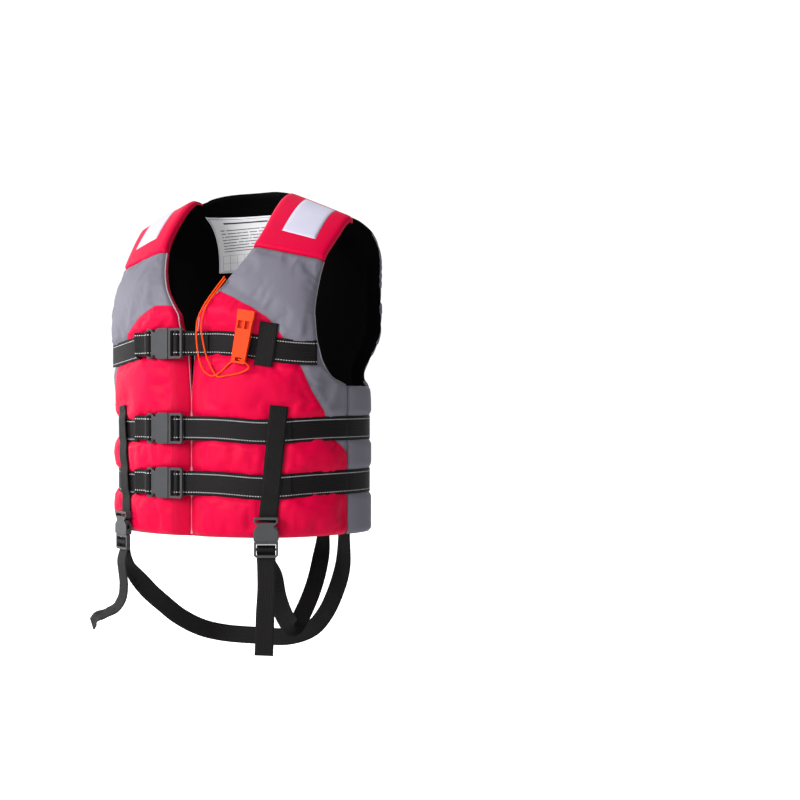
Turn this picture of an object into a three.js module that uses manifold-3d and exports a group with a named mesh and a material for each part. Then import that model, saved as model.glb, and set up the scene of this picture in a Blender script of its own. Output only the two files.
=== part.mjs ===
// A foam life jacket with three belts, two crotch straps and a whistle.
// Millimetres, +Z up. The jacket faces -Y and +X is the wearer's left.
// The origin is the underside of the shoulders, on the middle of the body.
//
// The outside of the jacket is one surface, shell(angle, rise). The angle goes round the body from
// the front middle (0) over the wearer's left side (90 degrees) to the back middle (180). The rise
// goes up from the hem: it is the height up to the chest, and runs on over the shoulder above it.
import * as THREE from 'three';
import * as BufferGeometryUtils from 'three/addons/utils/BufferGeometryUtils.js';
import Module from 'manifold-3d';

const wasm = await Module();
wasm.setup();

// Body
const HALF_WIDTH = 214;
const FRONT_DEPTH = 162;
const BACK_DEPTH = 112;
const WAIST_ROUNDNESS = 2.25; // superellipse power: 2 is an ellipse, more is squarer
const UPPER_BACK_ROUNDNESS = 4.5;
const BACK_FLATTENS_FROM = 230;
const BACK_FLAT_AT = 330;
const SHOULDER_TOP = 578; // the shoulder line's height, carried on to the middle of the body
const SHOULDER_SLOPE = 0.42;
const SHOULDER_LINE_ROUNDING = 25;
const FRONT_LEANS_FROM = 335; // height where the front starts to lean back to the shoulder
const FRONT_LEAN_RUN = 240;
const FRONT_CHEST_FULLNESS = 0.3;
const FRONT_SHOULDER_FULLNESS = 0.26;
const BACK_LEANS_FROM = 425;
const BACK_LEAN_RUN = 180;

// Panels
const PANEL_THICKNESS = 26;
const PANEL_THINS_FROM = 300;
const SEAM_THICKNESS = 17;
const SHOULDER_THICKNESS = 12;
const SIDE_THICKNESS = 8;
const SKIN = 1.2;
const CLEARANCE = 0.3;
const FOAM_EASE = 3; // how far the foam stays under its cover
const FOAM_EDGE = 5; // and how far inside the panel's edges
const SEAM_GAP = 0.5;
const FRONT_GAP = 5;
const NECK_HALF_WIDTH = 90;
const SHOULDER_SEAM_RISE = 441;
const SIDE_SEAM_ANGLE = 81;
const BACK_SEAM_ANGLE = 103;
const ARMHOLE_FLOOR = 230;
const BACK_ARMHOLE_ANGLE = 112.3;
const BACK_NECK_RISE = 557;
const BACK_TOP_RISE = 591;

// Webbing
const WEBBING = 1.6;
const BELT_WIDTH = 37;
const STRAP_WIDTH = 28;
const CHEST_BELT_HEIGHT = 293;
const WAIST_UPPER_BELT_HEIGHT = 164;
const WAIST_LOWER_BELT_HEIGHT = 81;
const CHEST_TAIL_END = 57;
const WAIST_TAIL_END = 160;
const BACK_LOOP_X = 168;
const BACK_LOOP_ENDS = [58, 207];
const CHEST_LOOP_X = 127;
const CHEST_LOOP_ENDS = [259, 322];
const FRONT_STRAP_TOP = 202;
const FRONT_STRAP_X_AT_HEM = 127;
const FRONT_STRAP_LEAN = 0.16; // sideways millimetres for each millimetre of height

// Buckles: lengths run from the female's strap bar to the male's end bar
const BELT_BUCKLE = { width: 47, length: 66, thick: 11, webbing: BELT_WIDTH };
const STRAP_BUCKLE = { width: 37, length: 60, thick: 10, webbing: STRAP_WIDTH };
const BELT_BUCKLE_X = -31;
const STRAP_BUCKLE_TOP = 32;

// Whistle, its cord and the label
const WHISTLE = { length: 80, width: 24, thick: 9 };
const WHISTLE_FOOT = { x: 89, height: 262 };
const WHISTLE_HEAD = { x: 102, height: 341 };
const CORD_DIAMETER = 2.4;
const LABEL = { width: 132, from: 425, to: 520, x: -37 };

const degrees = THREE.MathUtils.degToRad;
const UP = new THREE.Vector3(0, 0, 1);

// ---------------------------------------------------------------- the outside surface

const shoulderHeight = (x) => SHOULDER_TOP - SHOULDER_SLOPE * Math.hypot(x, SHOULDER_LINE_ROUNDING);
const ORIGIN_HEIGHT = shoulderHeight((NECK_HALF_WIDTH + HALF_WIDTH) / 2) - SHOULDER_THICKNESS;
const place = (x, y, height) => new THREE.Vector3(x, y, height - ORIGIN_HEIGHT);
const mix = THREE.MathUtils.lerp;
const FRONT_RIDGE = FRONT_LEANS_FROM + FRONT_LEAN_RUN;
const BACK_RIDGE = BACK_LEANS_FROM + BACK_LEAN_RUN;

function bodyOutline(angle, rise) {
  const s = Math.sin(angle);
  const c = Math.cos(angle);
  const squarer = THREE.MathUtils.smoothstep(rise, BACK_FLATTENS_FROM, BACK_FLAT_AT);
  const back = c < 0;
  const power = back ? mix(WAIST_ROUNDNESS, UPPER_BACK_ROUNDNESS, squarer) : WAIST_ROUNDNESS;
  const depth = back ? BACK_DEPTH : FRONT_DEPTH;
  const sum = Math.abs(s / HALF_WIDTH) ** power + Math.abs(c / depth) ** power;
  const radius = sum ** (-1 / power);
  return [radius * s, -radius * c];
}

function shell(angle, rise) {
  const [x, y] = bodyOutline(angle, rise);
  if (Math.cos(angle) >= 0) {
    const t = THREE.MathUtils.clamp((rise - FRONT_LEANS_FROM) / FRONT_LEAN_RUN, 0, 1);
    if (t === 0) return place(x, y, rise);
    const u = 1 - t;
    const forward = u ** 3 + 3 * u * u * t + 3 * u * t * t * FRONT_SHOULDER_FULLNESS;
    const up = 3 * u * u * t * FRONT_CHEST_FULLNESS + 3 * u * t * t + t ** 3;
    return place(x, y * forward, mix(FRONT_LEANS_FROM, shoulderHeight(x), up));
  }
  const t = THREE.MathUtils.clamp((rise - BACK_LEANS_FROM) / BACK_LEAN_RUN, 0, 1);
  if (t === 0) return place(x, y, rise);
  const turn = t * Math.PI / 2;
  return place(x, y * Math.cos(turn), mix(BACK_LEANS_FROM, shoulderHeight(x), Math.sin(turn)));
}

const SHELL_STEP = 0.002;
const RISE_STEP = 0.5;
function shellNormal(angle, rise) {
  const back = Math.cos(angle) < 0;
  const ridge = back ? BACK_RIDGE : FRONT_RIDGE;
  const level = Math.min(rise, ridge - 2 * RISE_STEP);
  const across = shell(angle + SHELL_STEP, level).sub(shell(angle - SHELL_STEP, level));
  const along = shell(angle, level + RISE_STEP).sub(shell(angle, level - RISE_STEP));
  return across.cross(along).normalize();
}

const offShell = (angle, rise, lift) =>
  shell(angle, rise).addScaledVector(shellNormal(angle, rise), lift);

// The angle at which the outline has this sideways x, on the front or on the back.
function angleAtX(x, onBack, rise) {
  const squarer = THREE.MathUtils.smoothstep(rise, BACK_FLATTENS_FROM, BACK_FLAT_AT);
  const power = onBack ? mix(WAIST_ROUNDNESS, UPPER_BACK_ROUNDNESS, squarer) : WAIST_ROUNDNESS;
  const depth = onBack ? BACK_DEPTH : FRONT_DEPTH;
  const share = 1 - Math.abs(x / HALF_WIDTH) ** power;
  const y = depth * share ** (1 / power);
  return onBack ? Math.atan2(x, -y) : Math.atan2(x, y);
}

// A smooth curve through [rise, value] points, flat beyond its ends.
function curveThrough(points) {
  return (rise) => {
    const last = points.length - 1;
    if (rise <= points[0][0]) return points[0][1];
    if (rise >= points[last][0]) return points[last][1];
    const i = points.findIndex(([from], k) => k < last && rise < points[k + 1][0] && rise >= from);
    const [x0, y0] = points[i];
    const [x1, y1] = points[i + 1];
    const slopeAt = (k) => {
      if (k <= 0 || k >= last) return 0;
      return (points[k + 1][1] - points[k - 1][1]) / (points[k + 1][0] - points[k - 1][0]);
    };
    const h = x1 - x0;
    const t = (rise - x0) / h;
    const m0 = slopeAt(i) * h;
    const m1 = slopeAt(i + 1) * h;
    const t2 = t * t;
    const t3 = t2 * t;
    return (2 * t3 - 3 * t2 + 1) * y0 + (t3 - 2 * t2 + t) * m0
      + (3 * t2 - 2 * t3) * y1 + (t3 - t2) * m1;
  };
}

// ---------------------------------------------------------------- outlines of the panels

const neckX = curveThrough([
  [285, FRONT_GAP / 2], [318, NECK_HALF_WIDTH - 72], [342, NECK_HALF_WIDTH - 66],
  [387, NECK_HALF_WIDTH - 33], [438, NECK_HALF_WIDTH - 7], [480, NECK_HALF_WIDTH],
]);
const armholeAngle = curveThrough([
  [ARMHOLE_FLOOR, SIDE_SEAM_ANGLE], [ARMHOLE_FLOOR + 9, 74.5], [ARMHOLE_FLOOR + 24, 69.7],
  [ARMHOLE_FLOOR + 42, 66.4], [ARMHOLE_FLOOR + 76, 63.6], [ARMHOLE_FLOOR + 165, 62.6],
  [ARMHOLE_FLOOR + 222, 62.8], [ARMHOLE_FLOOR + 281, 68.5], [FRONT_RIDGE, 71],
]);
const backEdgeAngle = curveThrough([
  [ARMHOLE_FLOOR, BACK_SEAM_ANGLE], [ARMHOLE_FLOOR + 9, 107], [ARMHOLE_FLOOR + 24, 110.3],
  [ARMHOLE_FLOOR + 48, BACK_ARMHOLE_ANGLE],
]);
const frontInner = (rise) => angleAtX(neckX(rise), false, rise);
const frontOuter = (rise) => degrees(armholeAngle(rise));

const panelThickness = curveThrough([
  [PANEL_THINS_FROM, PANEL_THICKNESS], [SHOULDER_SEAM_RISE, SEAM_THICKNESS],
  [FRONT_RIDGE, SHOULDER_THICKNESS],
]);
const backThickness = curveThrough([
  [BACK_LEANS_FROM, PANEL_THICKNESS], [BACK_TOP_RISE, SHOULDER_THICKNESS],
]);

// A panel gives a point at a share across it, at one of its rows, and a depth under the outside.
const steps = (count) => Array.from({ length: count + 1 }, (_, i) => i / count);

const frontPanel = {
  columns: steps(8),
  rows: [0, 120, ARMHOLE_FLOOR, ARMHOLE_FLOOR + 9, ARMHOLE_FLOOR + 24, ARMHOLE_FLOOR + 42,
    ARMHOLE_FLOOR + 76, 342, 365, 387, 410, SHOULDER_SEAM_RISE - SEAM_GAP],
  thickness: panelThickness,
  angle: (share, rise) => mix(frontInner(rise), frontOuter(rise), share),
  rise: (share, row) => row,
};

const backPanel = {
  columns: steps(13),
  rows: [0, 120, ARMHOLE_FLOOR, ARMHOLE_FLOOR + 9, ARMHOLE_FLOOR + 24, ARMHOLE_FLOOR + 48,
    304, BACK_FLAT_AT, BACK_LEANS_FROM, 450, 475, 500, 525, 550, 572, BACK_TOP_RISE],
  thickness: backThickness,
  angle: (share, row) => {
    const edge = degrees(backEdgeAngle(row));
    return mix(edge, 2 * Math.PI - edge, share);
  },
  rise(share, row) {
    if (row <= BACK_LEANS_FROM) return row;
    const [x] = bodyOutline(this.angle(share, row), row);
    const side = THREE.MathUtils.smoothstep(Math.abs(x), 0, NECK_HALF_WIDTH);
    const top = mix(BACK_NECK_RISE, BACK_TOP_RISE, side);
    const up = (row - BACK_LEANS_FROM) / (BACK_TOP_RISE - BACK_LEANS_FROM);
    return mix(BACK_LEANS_FROM, top, up);
  },
};

const sidePanel = {
  columns: steps(3),
  rows: [0, 120, ARMHOLE_FLOOR - 1],
  thickness: () => SIDE_THICKNESS,
  angle: (share) => {
    const gap = SEAM_GAP / HALF_WIDTH;
    return mix(degrees(SIDE_SEAM_ANGLE) + gap, degrees(BACK_SEAM_ANGLE) - gap, share);
  },
  rise: (share, row) => row,
};

// The shoulder pad's rows climb the front to the shoulder line and go down the back: a row above
// the front's ridge is a row on the back, mirrored about the ridge.
const shoulderPanel = {
  columns: steps(4),
  rows: [SHOULDER_SEAM_RISE, 466, 490, 515, 538, 558, FRONT_RIDGE, FRONT_RIDGE + 7,
    FRONT_RIDGE + (BACK_RIDGE - BACK_TOP_RISE) - 2 * SEAM_GAP],
  thickness: panelThickness,
  angle(share, row) {
    const front = Math.min(row, FRONT_RIDGE);
    const angle = mix(frontInner(front), frontOuter(front), share);
    if (row <= FRONT_RIDGE) return angle;
    const [x] = bodyOutline(angle, front);
    return angleAtX(x, true, BACK_RIDGE);
  },
  rise: (share, row) => (row <= FRONT_RIDGE ? row : BACK_RIDGE - (row - FRONT_RIDGE)),
};

function panelPoint(panel, share, row, depth) {
  const angle = panel.angle(share, row);
  return offShell(angle, panel.rise(share, row), -depth);
}

// A point on the flat facets between the panel's columns, so webbing lies flat on them.
function facetPoint(panel, share, row, lift) {
  const count = panel.columns.length - 1;
  const i = Math.min(count - 1, Math.floor(share * count));
  const a = panelPoint(panel, panel.columns[i], row, -lift);
  const b = panelPoint(panel, panel.columns[i + 1], row, -lift);
  return a.lerp(b, share * count - i);
}

// ---------------------------------------------------------------- closed bodies from grids

function solidFromTriangles(points, triangles) {
  const solid = new THREE.BufferGeometry();
  const flat = points.flatMap((p) => p.toArray());
  solid.setAttribute('position', new THREE.Float32BufferAttribute(flat, 3));
  let volume = 0;
  for (const [a, b, c] of triangles) {
    volume += points[a].dot(new THREE.Vector3().crossVectors(points[b], points[c]));
  }
  const order = volume > 0 ? triangles : triangles.map(([a, b, c]) => [a, c, b]);
  solid.setIndex(order.flat());
  solid.computeVertexNormals();
  return solid;
}

const quad = (a, b, c, d) => [[a, b, c], [a, c, d]];

function gridTriangles(rows, columns, first, flipped) {
  const triangles = [];
  for (let j = 0; j < rows - 1; j += 1) {
    for (let i = 0; i < columns - 1; i += 1) {
      const a = first + j * columns + i;
      const across = flipped ? a + columns : a + 1;
      const back = flipped ? a + 1 : a + columns;
      triangles.push(...quad(a, across, a + columns + 1, back));
    }
  }
  return triangles;
}

// The indices round a grid's edge, in order.
function gridEdge(rows, columns, first) {
  const edge = [];
  for (let i = 0; i < columns - 1; i += 1) edge.push(first + i);
  for (let j = 0; j < rows - 1; j += 1) edge.push(first + j * columns + columns - 1);
  for (let i = columns - 1; i > 0; i -= 1) edge.push(first + (rows - 1) * columns + i);
  for (let j = rows - 1; j > 0; j -= 1) edge.push(first + j * columns);
  return edge;
}

function bridge(edgeA, edgeB) {
  return edgeA.flatMap((a, i) => {
    const next = (i + 1) % edgeA.length;
    return quad(a, edgeB[i], edgeB[next], edgeA[next]);
  });
}

// Two grids of points, the outside one and the inside one, closed round their edges.
function slab(outside, inside) {
  const rows = outside.length;
  const columns = outside[0].length;
  const count = rows * columns;
  const points = [...outside.flat(), ...inside.flat()];
  return solidFromTriangles(points, [
    ...gridTriangles(rows, columns, 0, false),
    ...gridTriangles(rows, columns, count, true),
    ...bridge(gridEdge(rows, columns, 0), gridEdge(rows, columns, count)),
  ]);
}

// The panel's grid at one depth, with its four edges drawn in by inset millimetres.
function panelGrid(panel, depthAt, inset) {
  const { columns, rows } = panel;
  return rows.map((row, j) => {
    const ends = [0, 1].map((share) => panelPoint(panel, share, row, 0));
    const insetShare = inset / ends[0].distanceTo(ends[1]);
    let level = row;
    if (j === 0) level = row + inset;
    if (j === rows.length - 1) level = row - inset;
    return columns.map((column) => {
      const share = THREE.MathUtils.clamp(column, insetShare, 1 - insetShare);
      const rise = panel.rise(share, level);
      return panelPoint(panel, share, level, depthAt(panel.thickness(rise)));
    });
  });
}

// The cover is a tray: a skin outside, turned in over the panel's edges.
function coverTray(panel) {
  const rimDepth = (thickness) => thickness - SKIN - CLEARANCE;
  const layers = [
    panelGrid(panel, () => 0, 0),
    panelGrid(panel, rimDepth, 0),
    panelGrid(panel, rimDepth, SKIN),
    panelGrid(panel, () => SKIN, SKIN),
  ];
  const rows = panel.rows.length;
  const columns = panel.columns.length;
  const count = rows * columns;
  const rim = gridEdge(rows, columns, 0);
  const points = layers[0].flat();
  const rings = [rim];
  for (const layer of layers.slice(1, 3)) {
    const flat = layer.flat();
    rings.push(rim.map((index) => points.push(flat[index]) - 1));
  }
  const innerFirst = points.length;
  points.push(...layers[3].flat());
  rings.push(gridEdge(rows, columns, innerFirst));
  return solidFromTriangles(points, [
    ...gridTriangles(rows, columns, 0, false),
    ...gridTriangles(rows, columns, innerFirst, true),
    ...rings.slice(1).flatMap((ring, k) => bridge(rings[k], ring)),
  ]);
}

const foamCore = (panel) => slab(
  panelGrid(panel, () => SKIN + FOAM_EASE, FOAM_EDGE),
  panelGrid(panel, (thickness) => thickness - SKIN - CLEARANCE, FOAM_EDGE),
);

const liningSheet = (panel) => slab(
  panelGrid(panel, (thickness) => thickness - SKIN, 0),
  panelGrid(panel, (thickness) => thickness, 0),
);

const wholePanel = (panel) => slab(
  panelGrid(panel, () => 0, 0),
  panelGrid(panel, (thickness) => thickness, 0),
);

// Flat webbing swept along its middle line: each station is a point, the direction of its width
// and the direction of its thickness.
function ribbon(stations, width, thickness) {
  const points = stations.flatMap(({ at, across, out }) => [[-1, -1], [1, -1], [1, 1], [-1, 1]]
    .map(([i, j]) => at.clone()
      .addScaledVector(across, i * width / 2)
      .addScaledVector(out, j * thickness / 2)));
  const last = points.length - 4;
  const triangles = [...quad(0, 3, 2, 1), ...quad(last, last + 1, last + 2, last + 3)];
  for (let k = 0; k < last; k += 4) {
    for (let i = 0; i < 4; i += 1) {
      const next = (i + 1) % 4;
      triangles.push(...quad(k + i, k + next, k + 4 + next, k + 4 + i));
    }
  }
  return solidFromTriangles(points, triangles);
}

// Stations through points, with the width direction turned square to the path.
function stationsAlong(points, widthAt) {
  return points.map((at, k) => {
    const before = points[Math.max(0, k - 1)];
    const after = points[Math.min(points.length - 1, k + 1)];
    const along = after.clone().sub(before).normalize();
    const across = widthAt(k / (points.length - 1)).clone();
    across.addScaledVector(along, -across.dot(along)).normalize();
    const out = new THREE.Vector3().crossVectors(across, along).normalize();
    return { at, across, out };
  });
}

function mirrored(geometry) {
  const copy = geometry.clone();
  copy.applyMatrix4(new THREE.Matrix4().makeScale(-1, 1, 1));
  const index = copy.getIndex().array;
  for (let i = 0; i < index.length; i += 3) {
    [index[i + 1], index[i + 2]] = [index[i + 2], index[i + 1]];
  }
  copy.computeVertexNormals();
  return copy;
}

// ---------------------------------------------------------------- booleans

function toSolid(geometry) {
  const plain = geometry.clone();
  plain.deleteAttribute('normal');
  plain.deleteAttribute('uv');
  const merged = BufferGeometryUtils.mergeVertices(plain, 1e-4);
  return new wasm.Manifold(new wasm.Mesh({
    numProp: 3,
    vertProperties: Float32Array.from(merged.getAttribute('position').array),
    triVerts: Uint32Array.from(merged.getIndex().array),
  }));
}

function toGeometry(solid) {
  const mesh = solid.getMesh();
  const geometry = new THREE.BufferGeometry();
  geometry.setAttribute('position', new THREE.BufferAttribute(mesh.vertProperties, 3));
  geometry.setIndex(new THREE.BufferAttribute(mesh.triVerts, 1));
  geometry.computeVertexNormals();
  return geometry;
}

function box([x0, x1], [y0, y1], [z0, z1]) {
  const geometry = new THREE.BoxGeometry(x1 - x0, y1 - y0, z1 - z0);
  geometry.translate((x0 + x1) / 2, (y0 + y1) / 2, (z0 + z1) / 2);
  return toSolid(geometry);
}

// An outline of [x, z] points as a plate between two values of y.
function plate(outline, [y0, y1]) {
  const shape = new THREE.Shape(outline.map(([x, z]) => new THREE.Vector2(x, -z)));
  const geometry = new THREE.ExtrudeGeometry(shape, { depth: y1 - y0, bevelEnabled: false });
  geometry.rotateX(-Math.PI / 2);
  geometry.translate(0, y0, 0);
  return toSolid(geometry);
}

const bothSides = (outline) => [...outline, ...outline.map(([x, z]) => [x, -z]).reverse()];

// ---------------------------------------------------------------- materials and nodes

const finish = (color, roughness, metalness = 0) => (
  new THREE.MeshStandardMaterial({ color, roughness, metalness })
);
const redFabric = () => finish(0xd8083e, 0.75);
const greyFabric = () => finish(0x6e6c78, 0.75);
const blackFabric = () => finish(0x0c0c0d, 0.85);
const foam = () => finish(0xe8e4da, 0.9);
const webbing = () => finish(0x151316, 0.85);
const plastic = () => finish(0x55565a, 0.45);
const tapeSilver = () => finish(0xd9d8ea, 0.35);
const labelWhite = () => finish(0xe9e9ea, 0.6);
const whistleOrange = () => finish(0xff5a0a, 0.4);

const jacket = new THREE.Group();

function addNode(name, geometry, material, matrix) {
  const mesh = new THREE.Mesh(geometry, material);
  mesh.name = name;
  if (matrix) mesh.applyMatrix4(matrix);
  jacket.add(mesh);
  return mesh;
}

function addPair(name, geometry, material) {
  addNode(`${name}_left`, geometry, material());
  addNode(`${name}_right`, mirrored(geometry), material());
}

// ---------------------------------------------------------------- panels

for (const [piece, build, material] of [
  ['cover', coverTray, redFabric], ['foam', foamCore, foam], ['lining', liningSheet, blackFabric],
]) {
  const geometry = build(frontPanel);
  addNode(`front_left_${piece}`, geometry, material());
  addNode(`front_right_${piece}`, mirrored(geometry), material());
  addNode(`back_${piece}`, build(backPanel), material());
}
addPair('side_panel', wholePanel(sidePanel), greyFabric);
addPair('shoulder_pad', wholePanel(shoulderPanel), redFabric);

// ---------------------------------------------------------------- reflective patches and label

const PATCH = { thickness: 0.5, foot: [117, 165, 472], head: [122, 174, 560] };

function patchSolid() {
  const rows = steps(5).map((t) => mix(PATCH.foot[2], PATCH.head[2], t));
  const gridAt = (lift) => rows.map((row, j) => {
    const t = j / (rows.length - 1);
    return steps(3).map((share) => {
      const near = mix(PATCH.foot[0], PATCH.head[0], t);
      const far = mix(PATCH.foot[1], PATCH.head[1], t);
      return offShell(angleAtX(mix(near, far, share), false, row), row, lift);
    });
  });
  return slab(gridAt(CLEARANCE + PATCH.thickness), gridAt(CLEARANCE));
}
addPair('reflective_patch', patchSolid(), tapeSilver);

function labelSolid() {
  const rows = steps(4).map((t) => mix(LABEL.from, LABEL.to, t));
  const gridAt = (below) => rows.map((row) => steps(4).map((share) => {
    const x = LABEL.x + (share - 0.5) * LABEL.width;
    const angle = angleAtX(x, true, row);
    return offShell(angle, row, -(backThickness(row) + below));
  }));
  return slab(gridAt(4 * CLEARANCE), gridAt(4 * CLEARANCE + 0.5));
}
addNode('care_label', labelSolid(), labelWhite());

// ---------------------------------------------------------------- belts

const BELT_LIFT = CLEARANCE + WEBBING / 2;
const TAIL_LIFT = BELT_LIFT + WEBBING + CLEARANCE;
const CHEST_SLACK = 0.8; // the chest belt stands off the narrowing panel by this much more
const OVER_BELT_LIFT = BELT_LIFT + WEBBING + CLEARANCE + 0.2;
const OVER_TAIL_LIFT = TAIL_LIFT + WEBBING + CLEARANCE + 0.5;

// The share across the front panel at which it has this x, at this height.
function frontShareAtX(x, height) {
  const inner = frontInner(height);
  return (angleAtX(x, false, height) - inner) / (frontOuter(height) - inner);
}

// Level webbing on a panel between two shares, on the facets at the height of its middle.
function beltStations(panel, height, from, to, lift) {
  const between = panel.columns.filter((column) => column > from + 1e-3 && column < to - 1e-3);
  const points = [from, ...between, to].map((share) => facetPoint(panel, share, height, lift));
  return points.map((at, k) => {
    const before = points[Math.max(0, k - 1)];
    const after = points[Math.min(points.length - 1, k + 1)];
    const along = after.clone().sub(before).setZ(0).normalize();
    return { at, across: UP, out: new THREE.Vector3(along.y, -along.x, 0) };
  });
}

const mirrorPoint = (v) => new THREE.Vector3(-v.x, v.y, v.z);
const mirrorStations = (stations) => stations
  .map(({ at, across, out }) => ({ at: mirrorPoint(at), across, out: mirrorPoint(out) }))
  .reverse();

const beltRows = [
  { name: 'chest', height: CHEST_BELT_HEIGHT, tailEnd: CHEST_TAIL_END, slack: CHEST_SLACK },
  { name: 'waist_upper', height: WAIST_UPPER_BELT_HEIGHT, tailEnd: WAIST_TAIL_END, slack: 0 },
  { name: 'waist_lower', height: WAIST_LOWER_BELT_HEIGHT, tailEnd: WAIST_TAIL_END, slack: 0 },
];
const BELT_START_LEFT = 6; // where the belt comes out from under the male buckle
const BELT_START_RIGHT = -BELT_BUCKLE_X + BELT_BUCKLE.length / 2 - 9;

for (const { name, height, slack } of beltRows) {
  const round = name !== 'chest';
  const chestEdge = 1 - 2 / (HALF_WIDTH * (frontOuter(height) - frontInner(height)));
  const end = round ? 1 : chestEdge;
  const lift = BELT_LIFT + slack;
  const startLeft = frontShareAtX(BELT_START_LEFT, height);
  const startRight = frontShareAtX(BELT_START_RIGHT, height);
  const left = beltStations(frontPanel, height, startLeft, end, lift);
  addNode(`${name}_belt_left`, ribbon(left, BELT_WIDTH, WEBBING), webbing());
  const right = beltStations(frontPanel, height, startRight, end, lift);
  addNode(`${name}_belt_right`, ribbon(mirrorStations(right), BELT_WIDTH, WEBBING), webbing());
  if (round) {
    const side = beltStations(sidePanel, height, 0, 1, lift);
    const back = beltStations(backPanel, height, 0, 1, lift);
    const stations = [...side.slice(0, -1), ...back, ...mirrorStations(side).slice(1)];
    addNode(`${name}_belt_back`, ribbon(stations, BELT_WIDTH, WEBBING), webbing());
  }
}

// ---------------------------------------------------------------- vertical webbing

// Upright webbing on the shell: rungs are [x, height, lift], on the front or the back.
function uprightRibbon(rungs, onBack, width) {
  const stations = rungs.map(([x, height, lift]) => {
    const angle = angleAtX(x, onBack, height);
    const out = shellNormal(angle, height);
    const across = new THREE.Vector3().crossVectors(out, UP).normalize();
    return { at: offShell(angle, height, lift), across, out };
  });
  return ribbon(stations, width, WEBBING);
}

const strapX = (height) => FRONT_STRAP_X_AT_HEM + FRONT_STRAP_LEAN * height;
const halfBelt = BELT_WIDTH / 2;
const EASE = 7; // height over which webbing climbs onto a belt

function overBelts(x, [low, high], belts, lift) {
  const rungs = [[x(low), low, BELT_LIFT]];
  const foot = Math.min(...belts) - halfBelt;
  const head = Math.max(...belts) + halfBelt;
  if (foot - EASE > low) rungs.push([x(foot - EASE), foot - EASE, BELT_LIFT]);
  rungs[rungs.length - 1][2] = foot - EASE > low ? BELT_LIFT : lift;
  rungs.push([x(foot), foot, lift], [x(head), head, lift]);
  if (head + EASE < high) rungs.push([x(head + EASE), head + EASE, BELT_LIFT]);
  rungs.push([x(high), high, head + EASE < high ? BELT_LIFT : lift]);
  return rungs.filter((rung, k) => k === 0 || rung[1] > rungs[k - 1][1] + 0.5);
}

const waistBelts = [WAIST_LOWER_BELT_HEIGHT, WAIST_UPPER_BELT_HEIGHT];
const loopBack = overBelts(() => BACK_LOOP_X, BACK_LOOP_ENDS, waistBelts, OVER_BELT_LIFT);
addPair('back_loop', uprightRibbon(loopBack, true, STRAP_WIDTH), webbing);

const STRAP_FOOT = STRAP_BUCKLE_TOP - 7; // the strap's end lies under the female buckle
const strapRungs = overBelts(strapX, [STRAP_FOOT, FRONT_STRAP_TOP], waistBelts, OVER_TAIL_LIFT);
addPair('front_strap', uprightRibbon(strapRungs, false, STRAP_WIDTH), webbing);

const chestLoop = overBelts(
  () => CHEST_LOOP_X, CHEST_LOOP_ENDS, [CHEST_BELT_HEIGHT], OVER_BELT_LIFT + CHEST_SLACK,
);
addNode('chest_loop_left', uprightRibbon(chestLoop, false, STRAP_WIDTH), webbing());

// ---------------------------------------------------------------- side-release buckles

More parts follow.
